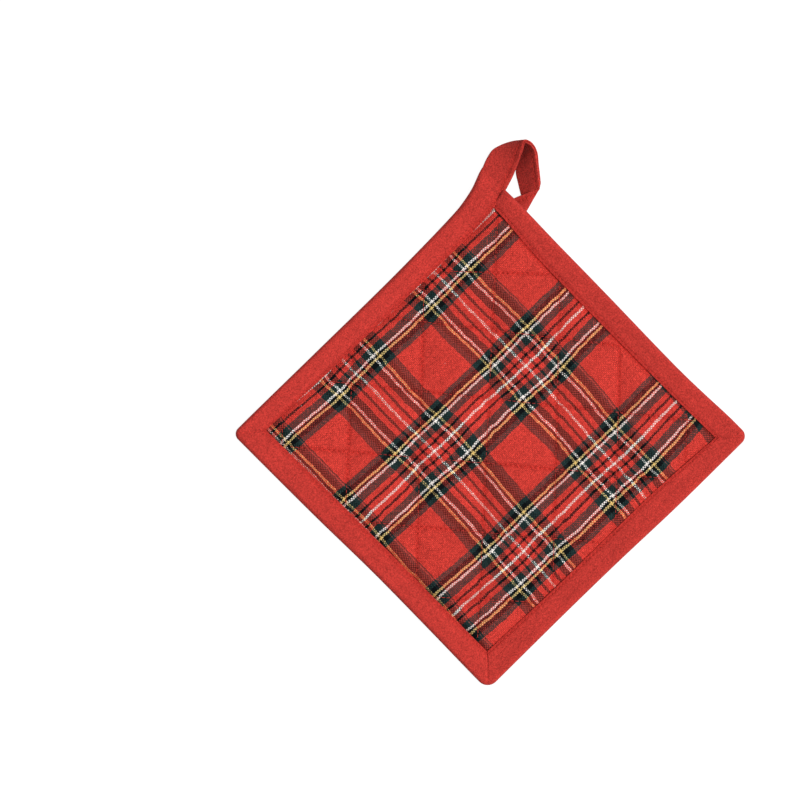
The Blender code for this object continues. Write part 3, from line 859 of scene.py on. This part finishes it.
pad = make_pad(tartan, back_cotton)
pad_points = points_of(pad.data)
pad_corners = corner_indices(pad.data)
pad_x, pad_y = pad_points[:, 0], pad_points[:, 1]
seams = {seam: seam_places(lines, pad_x, pad_y) for seam, lines in QUILTING.items()}
seam_gap = np.minimum(*[places[:, 1] for places in seams.values()])
# the binding's inner edge gets a painted shadow line and a dent from the needle-hole group
seams["binding_seam"] = binding_places(pad_x, pad_y)
warp_number = yarn_numbers(WARP_RUN, pad_points, pad_y, pad_x, seam_gap, 5.0)
weft_number = yarn_numbers(WEFT_RUN, pad_points, pad_x, pad_y, seam_gap, 9.0)
is_back = np.repeat([p.material_index == 1 for p in pad.data.polygons],
                    [p.loop_total for p in pad.data.polygons])
yarns_there = np.column_stack([warp_number, weft_number])[pad_corners]
yarns_there[is_back] = pad_points[pad_corners[is_back], :2] / PLAIN_YARN
set_uv(pad.data, "yarns", yarns_there)
for seam, places in seams.items():
    set_uv(pad.data, seam, places[pad_corners])
pad.data.update()
print("pad:", len(pad.data.polygons), "faces, warp yarns", round(warp_number.min()), "to",
      round(warp_number.max()))

# %% [markdown]
# ## The strip that binds the edge and makes the loop
#
# One strip of red cotton is folded in half lengthwise over the pad's edge and sewn down all round. At
# three corners it is folded into a mitre. At the fourth it leaves the pad, is sewn shut on itself, turns
# round and comes back under the right side. It is swept as one mesh: a folded section runs through the
# side tables, round the corners and on through the loop's table, and its two legs close where the pad
# ends. Modelling it in one run keeps the cloth unbroken where it leaves the pad.

# %% The loop's table and the strip's path
Corner = namedtuple("Corner", "first second first_along second_along radius")
CORNERS = [Corner(*row) for row in (
    ("east", "south", -88.0, 88.0, 5.0),
    ("south", "west", -88.0, -88.0, 6.5),
    ("west", "north", 90.0, -88.0, 4.3))]
LoopRow = namedtuple("LoopRow", "low_x low_y low_z high_x high_y high_z")
LOOP_ROWS = [LoopRow(*row) for row in (
    (100.5, 107.3, 3.5, 100.5, 89.4, 6.4), (105.0, 109.0, 3.7, 107.8, 91.8, 7.2),
    (110.6, 110.1, 3.6, 115.8, 95.3, 9.2), (115.5, 108.7, 3.0, 121.3, 98.3, 13.0),
    (121.2, 105.4, 1.8, 124.9, 100.4, 15.2), (124.4, 102.4, 1.3, 126.4, 98.0, 15.8),
    (121.6, 98.8, 1.1, 126.5, 95.0, 15.4), (116.6, 96.0, 1.0, 125.2, 91.4, 14.4),
    (111.6, 92.4, 1.0, 122.4, 87.6, 13.2), (107.8, 86.6, 1.0, 119.2, 83.4, 12.6),
    (104.6, 81.3, 1.0, 116.6, 80.0, 11.6), (102.2, 76.8, 1.0, 115.2, 78.2, 10.4),
    (100.8, 74.2, 1.0, 113.2, 77.4, 8.8), (98.2, 72.4, 1.2, 109.2, 79.2, 7.0),
    (94.6, 71.0, 1.4, 104.6, 81.2, 4.6), (91.2, 69.8, 1.6, 100.2, 83.0, 2.8),
    (86.6, 69.4, 1.1, 90.6, 85.4, 2.1))]
LOOP_STEPS = 9                        # sections from one row of the loop's table to the next
SECTION_GAP = 1.3                     # millimetres between sections on the sides
CORNER_SECTIONS = 23                  # sections round a corner; the middle one is the mitre
MITRE_REACH = 3.6                     # how far along each inner edge a corner's sections spread
MITRE_WIDTH = 0.55
FIRST_END = (88.9, 86.9)              # where the strip's first end would stop, at its fold and inner edge
TUCK = 1.4                            # how far it runs on under the strip's last side
TUCK_LENGTH = 6.0
LEAVING_STARTS = (72.0, 73.2)         # where the north side's even sections end and its last ones start
LEAVING_SECTIONS = 26
THINNING_STARTS = 93.0                # the binding thins from here
LEGS_CLOSE = 96.0                     # its legs close from here
STRIP_LEAVES = 100.2                  # and it leaves the pad here
Section = namedtuple("Section", "outer inner rise side mitre closing tuck thinning", defaults=(0.0,) * 4)


def heading(side):
    """The way the strip runs along a side, clockwise round the pad."""
    out_x, out_y = OUTWARD[side]
    return np.array((out_y, -out_x))


def blend_rows(rows, index, share):
    """A smooth curve through table rows, as the solids use."""
    rows = np.array(rows, float)
    last = len(rows) - 1
    a, b, c, d = (rows[min(max(index + k, 0), last)] for k in (-1, 0, 1, 2))
    bend = (2.0 * a - 5.0 * b + 4.0 * c - d) * share ** 2 + (3.0 * (b - c) + d - a) * share ** 3
    return b + 0.5 * ((c - a) * share + bend)


def side_at(side, along):
    """The binding's outer and inner distance from the pad's middle."""
    rows = SIDE_ROWS[side]
    index = 0
    while index < len(rows) - 2 and along > rows[index + 1].along:
        index += 1
    start, end = rows[index], rows[index + 1]
    share = min(max((along - start.along) / (end.along - start.along), 0.0), 1.0)
    return SideRow(*blend_rows(rows, index, share))


def flat_section(side, outer, inner, **more):
    return Section(np.array((*outer, BINDING_MIDDLE)), np.array((*inner, BINDING_MIDDLE)),
                   np.array((0.0, 0.0, 1.0)), side, **more)


def side_section(side, outer_along, inner_along, **more):
    """A section across one side, from its outer fold at one place to its inner edge at another."""
    out = np.array(OUTWARD[side])
    onward = np.abs(heading(side))
    return flat_section(side, out * side_at(side, outer_along).outer + onward * outer_along,
                        out * side_at(side, inner_along).inner + onward * inner_along, **more)


def side_run(side, starts, stops, tuck_length=0.0):
    """Even sections along a side: starts and stops each hold a place on its fold and its inner edge."""
    count = max(3, int(round(abs(stops[0] - starts[0]) / SECTION_GAP)))
    sections = []
    for share in np.linspace(0.0, 1.0, count):
        places = [start + (stop - start) * share for start, stop in zip(starts, stops)]
        tuck = 0.0
        if tuck_length:
            tuck = 1.0 - float(smooth_step(abs(places[0] - starts[0]) / tuck_length))
        sections.append(side_section(side, *places, tuck=tuck))
    return sections


def corner_run(corner, outer, inner):
    back, onward = -heading(corner.first), heading(corner.second)
    centre = outer + corner.radius * (back + onward)
    middle = (CORNER_SECTIONS - 1) // 2
    sections = []
    for index in range(CORNER_SECTIONS):
        angle = 0.5 * math.pi * index / (CORNER_SECTIONS - 1)
        step = (index - middle) / middle * MITRE_REACH
        place = centre - corner.radius * (math.cos(angle) * onward + math.sin(angle) * back)
        foot = inner + (onward * step if step > 0 else back * -step)
        mitre = math.exp(-(step / MITRE_WIDTH) ** 2)
        side = corner.first if index <= middle else corner.second
        sections.append(flat_section(side, place, foot, mitre=mitre))
    return sections


def corner_points(corner):
    """The point where the outer folds of a corner's two sides meet, and where their inner edges do."""
    rows = [(np.array(OUTWARD[side]), side_at(side, along))
            for side, along in ((corner.first, corner.first_along), (corner.second, corner.second_along))]
    return [sum(out * getattr(row, leg) for out, row in rows) for leg in ("outer", "inner")]


def places_beside(side, points, trims):
    """Places along a side, each as far on from a point as its trim says."""
    return [float(np.abs(heading(side)) @ (point + heading(side) * trim))
            for point, trim in zip(points, trims)]


def binding_run():
    """Sections from the strip's first end on the east side, clockwise, to where it leaves the pad."""
    run = []
    starts, tuck_length = [place + TUCK for place in FIRST_END], TUCK_LENGTH
    for corner in CORNERS:
        points = corner_points(corner)
        trims = np.array((corner.radius + SECTION_GAP, MITRE_REACH + SECTION_GAP))
        run += side_run(corner.first, starts, places_beside(corner.first, points, -trims), tuck_length)
        run += corner_run(corner, *points)
        starts, tuck_length = places_beside(corner.second, points, trims), 0.0
    run += side_run("north", starts, [LEAVING_STARTS[0]] * 2)
    for along in np.linspace(LEAVING_STARTS[1], STRIP_LEAVES, LEAVING_SECTIONS):
        closing, thinning = (float(smooth_step((along - start) / (STRIP_LEAVES - start)))
                             for start in (LEGS_CLOSE, THINNING_STARTS))
        run.append(side_section("north", along, along, closing=closing, thinning=thinning))
    return run


def loop_run():
    rows = []
    for index in range(len(LOOP_ROWS) - 1):
        rows += [blend_rows(LOOP_ROWS, index, step / LOOP_STEPS) for step in range(LOOP_STEPS)]
    rows = np.array(rows + [LOOP_ROWS[-1]])[1:]
    low, high = rows[:, :3], rows[:, 3:]
    rise = np.cross(high - low, np.gradient((low + high) / 2.0, axis=0))
    rise /= np.linalg.norm(rise, axis=1)[:, None]
    return [Section(*points, "loop", closing=1.0) for points in zip(low, high, rise)]


binding_sections = binding_run()
strip_sections = binding_sections + loop_run()
print("strip:", len(strip_sections), "sections,", len(binding_sections), "of them round the pad")

# %% [markdown]
# The section is a folded strip: a rounded fold outside, two legs, and between them the room for the pad's
# rim. Real binding isn't ironed flat. The seam pulls it down in a shallow groove, its inner edge stands a
# little proud, short puckers cross the seam, and the whole leg swells and sinks along its length. Seeded
# noise gives those, largest near the seam.

# %% Folded section and its unevenness
LEG_PLACES = np.array([
    0.0, 0.012, 0.03, 0.06, 0.1, 0.15, 0.21, 0.28, 0.36, 0.44, 0.52, 0.6, 0.67, 0.73, 0.78, 0.82, 0.855,
    0.885, 0.91, 0.935, 0.96, 0.98, 0.993, 1.0])
SEAM_IN = 1.3                         # the binding's seam runs this far from its inner edge
LOOP_SEAM_IN = 2.9                    # and the loop's own seam this far from its open edge
SEAM_DEPTH = 0.16
SEAM_WIDTH = 0.6
SLOT_ROOM = 0.9                       # room between the pad's rim and the fold
LOOP_SLOT_HALF = 0.12                 # half the gap between the legs where they are sewn together
FOLD_DEPTH = 2.9                      # the fold is blunt: full thickness is reached this far in
BINDING_TILT = 0.7                    # the seam pulls the upper leg down by this share of its height
STRIP_CLOTH = 0.45                    # the folded hem's thickness below its rounded edge
LOOP_CLOTH = 0.08
PAD_HALF = 100.0                      # the strip's yarns are counted from here, across each side
EDGE_ROUNDING = 0.35
SLOT_CORNER = 0.3
MITRE_SINK = 0.55
TUCK_SINK = 0.85
SWELL = 0.45
RIPPLE = 0.22
PUCKER = 0.26
SEWN_CALM = 0.75                      # how much less the strip swells where it is sewn shut
PUCKER_REACH = 3.2                    # the puckers fade this far from the seam
WAVES = ((26.0, 30.0, 0.0), (8.0, 14.0, 7.0), (2.6, 9.0, 19.0))      # length, width and seed of each


def slot_depth(section):
    """Share of the strip's width that lies outside the pad's rim."""
    walls = []
    for x, y, sign_x, sign_y in RIM_CORNERS:
        walls += [((sign_x, 0.0), abs(x) + SLOT_ROOM), ((0.0, sign_y), abs(y) + SLOT_ROOM),
                  ((sign_x, sign_y), abs(x) + abs(y) - RIM_CHAMFER + SLOT_ROOM)]
    share = 0.0
    for normal, distance in walls:
        outer = np.dot(normal, section.outer[:2]) - distance
        inner = np.dot(normal, section.inner[:2]) - distance
        if outer > 0.0 > inner:
            share = max(share, outer / (outer - inner))
    return share


def quarter_round(share):
    """Height of a quarter circle, from 0 at a share of 0 to 1 at a share of 1 and beyond."""
    return np.sqrt(np.clip(1.0 - (1.0 - np.minimum(share, 1.0)) ** 2, 0.0, 1.0))


def leg_height(distance, width, tilt, closing):
    """One leg's height off the strip's middle: a blunt fold round the rim, or the loop's sewn strip."""
    sewn = STRIP_HALF * quarter_round(distance)
    slope = 1.0 - tilt * np.clip((distance - 2.0) / (width - 2.0), 0.0, 1.0)
    bound = BINDING_HALF * quarter_round(distance / FOLD_DEPTH) * slope
    return bound + (sewn - bound) * closing


def waves_at(run_length, across, seed):
    """Slow swells, ripples and short puckers at one point, each from -1 to 1."""
    return [noise.noise(Vector((run_length / length, across / width, seed + shift)))
            for length, width, shift in WAVES]


def strip_ring(section, run_length):
    """The outline of one section, the same laid out flat, and each point's distance from the seam."""
    width = float(np.linalg.norm(section.inner - section.outer))
    inward = (section.inner - section.outer) / width
    closing = section.closing
    in_loop = section.side == "loop"
    wall = 0.0 if in_loop else slot_depth(section) * width
    wall += (width - 0.5 - wall) * closing
    distance = LEG_PLACES * width
    seam = width - (SEAM_IN + (LOOP_SEAM_IN - SEAM_IN) * closing)
    groove = SEAM_DEPTH * np.exp(-((distance - seam) / SEAM_WIDTH) ** 2)
    crown = BINDING_CROWN * np.sin(math.pi * distance / width) * (1.0 - closing)
    sink = MITRE_SINK * section.mitre * smooth_step((distance - 1.0) / 2.0)
    edge_drop = EDGE_ROUNDING * (1.0 - quarter_round((width - distance) / EDGE_ROUNDING))
    near_seam = np.exp(-((distance - seam) / PUCKER_REACH) ** 2)
    body = smooth_step(distance / 3.0) * (1.0 - SEWN_CALM * max(closing, section.thinning))
    legs = []
    for sign, seed, tilt in ((1.0, 3.0, BINDING_TILT), (-1.0, 41.0, 0.0)):
        slow, medium, short = np.array([waves_at(run_length, d, seed) for d in distance]).T
        uneven = body * (SWELL * slow + RIPPLE * medium) + near_seam * PUCKER * short
        raised = crown
        if sign < 0.0:
            raised = 0.0
            uneven = uneven if in_loop else np.minimum(uneven, 0.0)
        base = leg_height(distance, width, tilt, smooth_step(closing + section.thinning))
        legs.append(sign * (base + raised - groove - sink - edge_drop - TUCK_SINK * section.tuck + uneven))
    slot = SLOT_HALF + (LOOP_SLOT_HALF - SLOT_HALF) * closing
    cloth = STRIP_CLOTH + (LOOP_CLOTH - STRIP_CLOTH) * closing
    above, below = (min(slot, height - cloth) for height in (legs[0][-1], -legs[1][-1]))
    inside = [(width, above), (wall + SLOT_CORNER, slot), (wall, slot * 0.5), (wall, -slot * 0.5),
              (wall + SLOT_CORNER, -slot), (width, -below)]
    top, bottom = (np.column_stack([distance, leg]) for leg in legs)
    outline = np.vstack([top, inside, bottom[:0:-1]])
    places = section.outer + inward * outline[:, :1] + section.rise * outline[:, 1:]
    if not in_loop:
        places[:, 2] += corner_lift(places[:, 0], places[:, 1])
    return places, outline, np.abs(outline[:, 0] - seam)


def run_lengths(sections):
    """How far along the strip each section lies, measured beside its inner edge."""
    near_seam = np.array([section.outer * 0.1 + section.inner * 0.9 for section in sections])
    return np.concatenate([[0.0], np.linalg.norm(np.diff(near_seam, axis=0), axis=1).cumsum()])


def side_cloth(side, place):
    """Where a point of a side's binding lies on its cloth, along and across the side."""
    sign = 1.0 if place[2] >= BINDING_MIDDLE else -1.0
    out = float(np.dot(OUTWARD[side], place[:2]))
    return float(np.dot(heading(side), place[:2])), (PAD_HALF - out) * sign + place[2] - BINDING_MIDDLE


def build_strip(cloth):
    points, yarn_places, seam_uv = [], [], []
    for section, length in zip(strip_sections, strip_lengths):
        places, outline, beside = strip_ring(section, length)
        run = np.full(len(outline), length)
        unfolded = np.where(outline[:, 1] >= 0.0, 1.0, -1.0) * outline[:, 0] + outline[:, 1]
        points.append(places)
        seam_uv.append(np.column_stack([run, beside]))
        yarn_places.append(np.column_stack([run, unfolded]))
    count = len(points[0])
    even_sections = len(binding_sections) - LEAVING_SECTIONS
    faces, corners = [], []
    for ring in range(len(points) - 1):
        side = strip_sections[ring + 1].side
        for index in range(count):
            after = (index + 1) % count
            quad = [(ring, index), (ring, after), (ring + 1, after), (ring + 1, index)]
            faces.append(tuple(r * count + i for r, i in quad))
            for r, i in quad:
                on_side = side in OUTWARD and r < even_sections
                corners.append(side_cloth(side, points[r][i]) if on_side else tuple(yarn_places[r][i]))
    faces.append(tuple(range(count))[::-1])
    faces.append(tuple((len(points) - 1) * count + i for i in range(count)))
    corners += [(0.0, 0.0)] * (2 * count)
    strip = mesh_object("binding_strip", np.vstack(points), faces)
    strip.data.materials.append(cloth)
    set_uv(strip.data, "yarns", np.array(corners) / PLAIN_YARN)
    set_uv(strip.data, "seam", np.vstack(seam_uv)[corner_indices(strip.data)])
    strip.data.shade_smooth()
    return strip


strip_lengths = run_lengths(strip_sections)
strip = build_strip(red_cotton)
print("strip:", round(strip_lengths[-1]), "mm long,", len(strip.data.polygons), "faces")

# %% [markdown]
# ## Stitches
#
# Each seam is a path on the cloth with one point a stitch. A Geometry Nodes tree sets a short arched
# thread on each point, turned along the path and standing on the cloth. The thread dives at its ends, as
# a lockstitch does, where the shader has its needle holes.

# %% Geometry Nodes tree for a row of stitches
STITCH_SIDES = 6
STITCH_STEPS = 6
THREAD_END = 0.55                     # thickness at a stitch's ends, as a share of its middle's
ARCH_HEIGHT = 1.1
ARCH_DIVE = 0.75


def stitch_mesh():
    """One thread, 1 long and 1 high in its own units, arched so that its ends dive."""
    sides, steps = STITCH_SIDES, STITCH_STEPS
    vertices, faces = [], []
    for step in range(steps + 1):
        share = step / steps
        rise = math.sin(math.pi * share)
        thick = THREAD_END + (1.0 - THREAD_END) * rise
        for side in range(sides):
            angle = 2.0 * math.pi * side / sides
            vertices.append((share - 0.5, 0.5 * thick * math.cos(angle),
                             0.5 * thick * math.sin(angle) + ARCH_HEIGHT * rise - ARCH_DIVE))
    for step in range(steps):
        for side in range(sides):
            after = (side + 1) % sides
            a, b = step * sides, (step + 1) * sides
            faces.append((a + side, a + after, b + after, b + side))
    faces.append(tuple(range(sides)))
    faces.append(tuple(steps * sides + side for side in range(sides))[::-1])
    made = mesh_object("one_stitch", vertices, faces, scale=1.0)
    shape = bmesh.new()
    shape.from_mesh(made.data)
    bmesh.ops.recalc_face_normals(shape, faces=shape.faces[:])
    shape.to_mesh(made.data)
    shape.free()
    made.data.shade_smooth()
    made.hide_render = made.hide_viewport = True
    return made


def make_stitch_tree():
    bench, given, out = new_group(
        "stitch_row",
        [("Geometry", "NodeSocketGeometry", None), ("Thread Length", FLOAT, 0.0022),
         ("Thread Width", FLOAT, 0.0003), ("Unevenness", FLOAT, 0.1), ("Seed", "NodeSocketInt", 5),
         ("Stitch", "NodeSocketObject", None), ("Thread", "NodeSocketMaterial", None)],
        [("Geometry", "NodeSocketGeometry")], kind="GeometryNodeTree")
    curve = bench.put("GeometryNodeMeshToCurve", {"Mesh": given["Geometry"]})[0]
    tangent = bench.put("GeometryNodeInputTangent")[0]
    rise = bench.put("GeometryNodeInputNamedAttribute", {"Name": "rise"}, data_type="FLOAT_VECTOR")[0]
    along = bench.put("FunctionNodeAlignRotationToVector", {"Vector": tangent}, axis="X")[0]
    turned = bench.put("FunctionNodeAlignRotationToVector", {"Rotation": along, "Vector": rise},
                       axis="Z", pivot_axis="X")[0]
    wobble = bench.put("FunctionNodeRandomValue", {2: -1.0, 3: 1.0, "Seed": given["Seed"]},
                       data_type="FLOAT")[1]
    change = bench.maths("MULTIPLY_ADD", wobble, given["Unevenness"], 1.0)
    size = bench.put("ShaderNodeCombineXYZ", {0: bench.times(given["Thread Length"], change),
                                              1: given["Thread Width"], 2: given["Thread Width"]})[0]
    source = bench.put("GeometryNodeObjectInfo", {"Object": given["Stitch"]}, transform_space="ORIGINAL")
    placed = bench.put("GeometryNodeInstanceOnPoints", {
        "Points": curve, "Instance": source["Geometry"], "Rotation": turned, "Scale": size})[0]
    real = bench.put("GeometryNodeRealizeInstances", {"Geometry": placed})[0]
    painted = bench.put("GeometryNodeSetMaterial", {"Geometry": real, "Material": given["Thread"]})[0]
    bench.join(out, {"Geometry": painted})
    return bench.tree


one_stitch = stitch_mesh()
stitch_tree = make_stitch_tree()
print("stitch tree:", len(stitch_tree.nodes), "nodes")

# %% [markdown]
# The thread is smooth spun cotton or polyester with a fine twist, near the cloth's own red, so it hardly
# shows. Its twist is a wave along the thread, so it needs no picture. The wave dents the bump and paints
# shade into the twist's grooves.

# %% Thread
THREAD_RED = srgb(200, 58, 50)
THREAD_RELIEF = 0.05
TWIST_SCALE = 900.0
# how dark the painted shade in the twist's grooves is
TWIST_SHADE = 0.72


def thread_material(name, colour):
    material, shader = new_material(name, {"Roughness": 0.9, "Specular IOR Level": 0.15})
    bench = Bench(material.node_tree)
    place = bench.put("ShaderNodeTexCoord")["Object"]
    twist = bench.put("ShaderNodeTexWave", {"Vector": place, "Scale": TWIST_SCALE, "Distortion": 1.5},
                      bands_direction="DIAGONAL")["Fac"]
    # painted shade: the twist's grooves are darker
    bench.join(shader, {
        "Base Color": bench.mix(twist, darker(colour, TWIST_SHADE), colour),
        "Normal": bench.put("ShaderNodeBump", {"Height": twist, "Strength": 0.4,
                                               "Distance": THREAD_RELIEF * MILLIMETRE})[0]})
    return material


red_thread = thread_material("red_thread", THREAD_RED)
print("thread material ready")

# %% Paths on the cloth
FACE_LIFT = 0.06                      # how far a thread's middle stands off the cloth
BACK_LIFT = 0.04
DROP_HEIGHT = 60.0                    # millimetres above or below, where a path is dropped from
QUILT_THREAD = (2.15, 0.24)           # length and width of a quilting stitch
QUILT_MARGIN = 0.4
LINE_STITCHES = 60                    # stitches each way from a line's middle, more than the face holds


def surface_of(item):
    return BVHTree.FromPolygons([tuple(p) for p in points_of(item.data)],
                                [tuple(p.vertices) for p in item.data.polygons])


def drop(surface, places, side, lift):
    """Lay flat points on a surface, from above (side 1) or below (-1); returns points and the way up."""
    up = Vector((0.0, 0.0, side))
    hits = [surface.ray_cast(Vector((x, y, side * DROP_HEIGHT)), -up)[0] for x, y in places]
    return [(hit + up * lift, up) for hit in hits if hit is not None]


def sew(name, rows, thread, seed):
    """Sew a stitch on each (point, up) of the rows with the tree above, as one plain mesh."""
    vertices, edges, rises = [], [], []
    for row in rows:
        start = len(vertices)
        vertices += [tuple(point) for point, _ in row]
        rises += [tuple(up) for _, up in row]
        edges += [(start + i, start + i + 1) for i in range(len(row) - 1)]
    mesh = bpy.data.meshes.new(name)
    mesh.from_pydata((np.array(vertices) * MILLIMETRE).tolist(), edges, [])
    attribute = mesh.attributes.new("rise", "FLOAT_VECTOR", "POINT")
    attribute.data.foreach_set("vector", np.array(rises, np.float32).ravel())
    seam = add_object(name, mesh)
    modifier = seam.modifiers.new("stitches", "NODES")
    modifier.node_group = stitch_tree
    values = {"Thread Length": thread[0] * MILLIMETRE, "Thread Width": thread[1] * MILLIMETRE,
              "Seed": seed, "Stitch": one_stitch, "Thread": red_thread}
    for item in stitch_tree.interface.items_tree:
        if item.in_out == "INPUT" and item.name in values:
            modifier[item.identifier] = values[item.name]
    freeze(seam)
    print(name, "-", len(vertices), "stitches,", len(seam.data.polygons), "faces")
    return seam


def quilting_paths():
    """One flat point a stitch along each quilting line, inside the binding."""
    paths = []
    for intercept, slope in QUILTING["rising_seam"] + QUILTING["falling_seam"]:
        long = math.hypot(1.0, slope)
        along = np.arange(-LINE_STITCHES, LINE_STITCHES) * QUILT_PITCH
        x = (along * long - slope * intercept) / long ** 2
        y = intercept + slope * x
        keep = inside_rim(x, y) > QUILT_MARGIN
        if keep.sum() > 1:
            paths.append(list(zip(x[keep], y[keep])))
    return paths


pad_surface = surface_of(pad)
quilting = quilting_paths()
face_rows = [drop(pad_surface, path, 1.0, FACE_LIFT) for path in quilting]
back_rows = [drop(pad_surface, path, -1.0, BACK_LIFT) for path in quilting]
quilting_stitches = sew("quilting_stitches", face_rows + back_rows, QUILT_THREAD, 11)

# %% [markdown]
# The binding's seam goes through both legs, a little way in from its inner edge, and runs on along the
# loop, where it holds the strip's folded edges together. A short row across the strip closes the corner
# where its two ends meet, and another holds the loop's end under the right side.

# %% Sew the strip
FIRST_SECTION = 8                     # the first end is tucked away, without stitches
LAST_SECTIONS = 16                    # and so is the loop's end
TACK_ROWS = [[(86.2, 87.6), (86.2, 94.4)], [(88.6, 71.8), (88.6, 82.8)]]
TACK_PITCH = 2.2
TACK_LIFT = 0.05
STRIP_LIFT = 0.02
STRIP_THREAD = (2.0, 0.24)            # length and width of the strip's stitches


def strip_row(leg, lift):
    """One point a stitch along one leg of the strip, on its seam."""
    points, ups = [], []
    count = len(LEG_PLACES)
    for section, length in zip(strip_sections, strip_lengths):
        places, outline, beside = strip_ring(section, length)
        part = slice(0, count) if leg > 0 else slice(len(outline) - count + 1, len(outline))
        nearest = np.argsort(beside[part])[:2]
        weights = 1.0 - beside[part][nearest] / beside[part][nearest].sum()
        ups.append(section.rise * leg)
        points.append((places[part][nearest] * weights[:, None]).sum(axis=0) + ups[-1] * lift)
    start, end = strip_lengths[FIRST_SECTION], strip_lengths[-LAST_SECTIONS]
    stations = np.arange(math.ceil(start / STRIP_PITCH), end / STRIP_PITCH) * STRIP_PITCH
    points, ups = np.array(points), np.array(ups)
    at = [np.column_stack([np.interp(stations, strip_lengths, values[:, axis]) for axis in range(3)])
          for values in (points, ups)]
    return list(zip(*at))


def straight(path, pitch):
    start, end = np.array(path)
    steps = int(np.linalg.norm(end - start) / pitch)
    return [tuple(start + (end - start) * k / steps) for k in range(steps + 1)]


strip_surface = surface_of(strip)
tacks = [drop(strip_surface, straight(path, TACK_PITCH), 1.0, TACK_LIFT) for path in TACK_ROWS]
seam_rows = [strip_row(leg, STRIP_LIFT) for leg in (1.0, -1.0)]
strip_stitches = sew("strip_stitches", seam_rows + tacks, STRIP_THREAD, 23)

# %% [markdown]
# ## Bodies
#
# Each piece rides on the only body, and the pad and the strip stand for the solids that they replace,
# which are hidden. The strip has its raw edges turned in before it is folded over the pad's edge, and the
# pad is softly filled.

# %% Bodies
for piece in (pad, strip, quilting_stitches, strip_stitches):
    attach(piece, BODY)
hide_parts("quilted_panel")
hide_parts("edge_binding", "hanging_loop")
bpy.data.objects.remove(one_stitch, do_unlink=True)
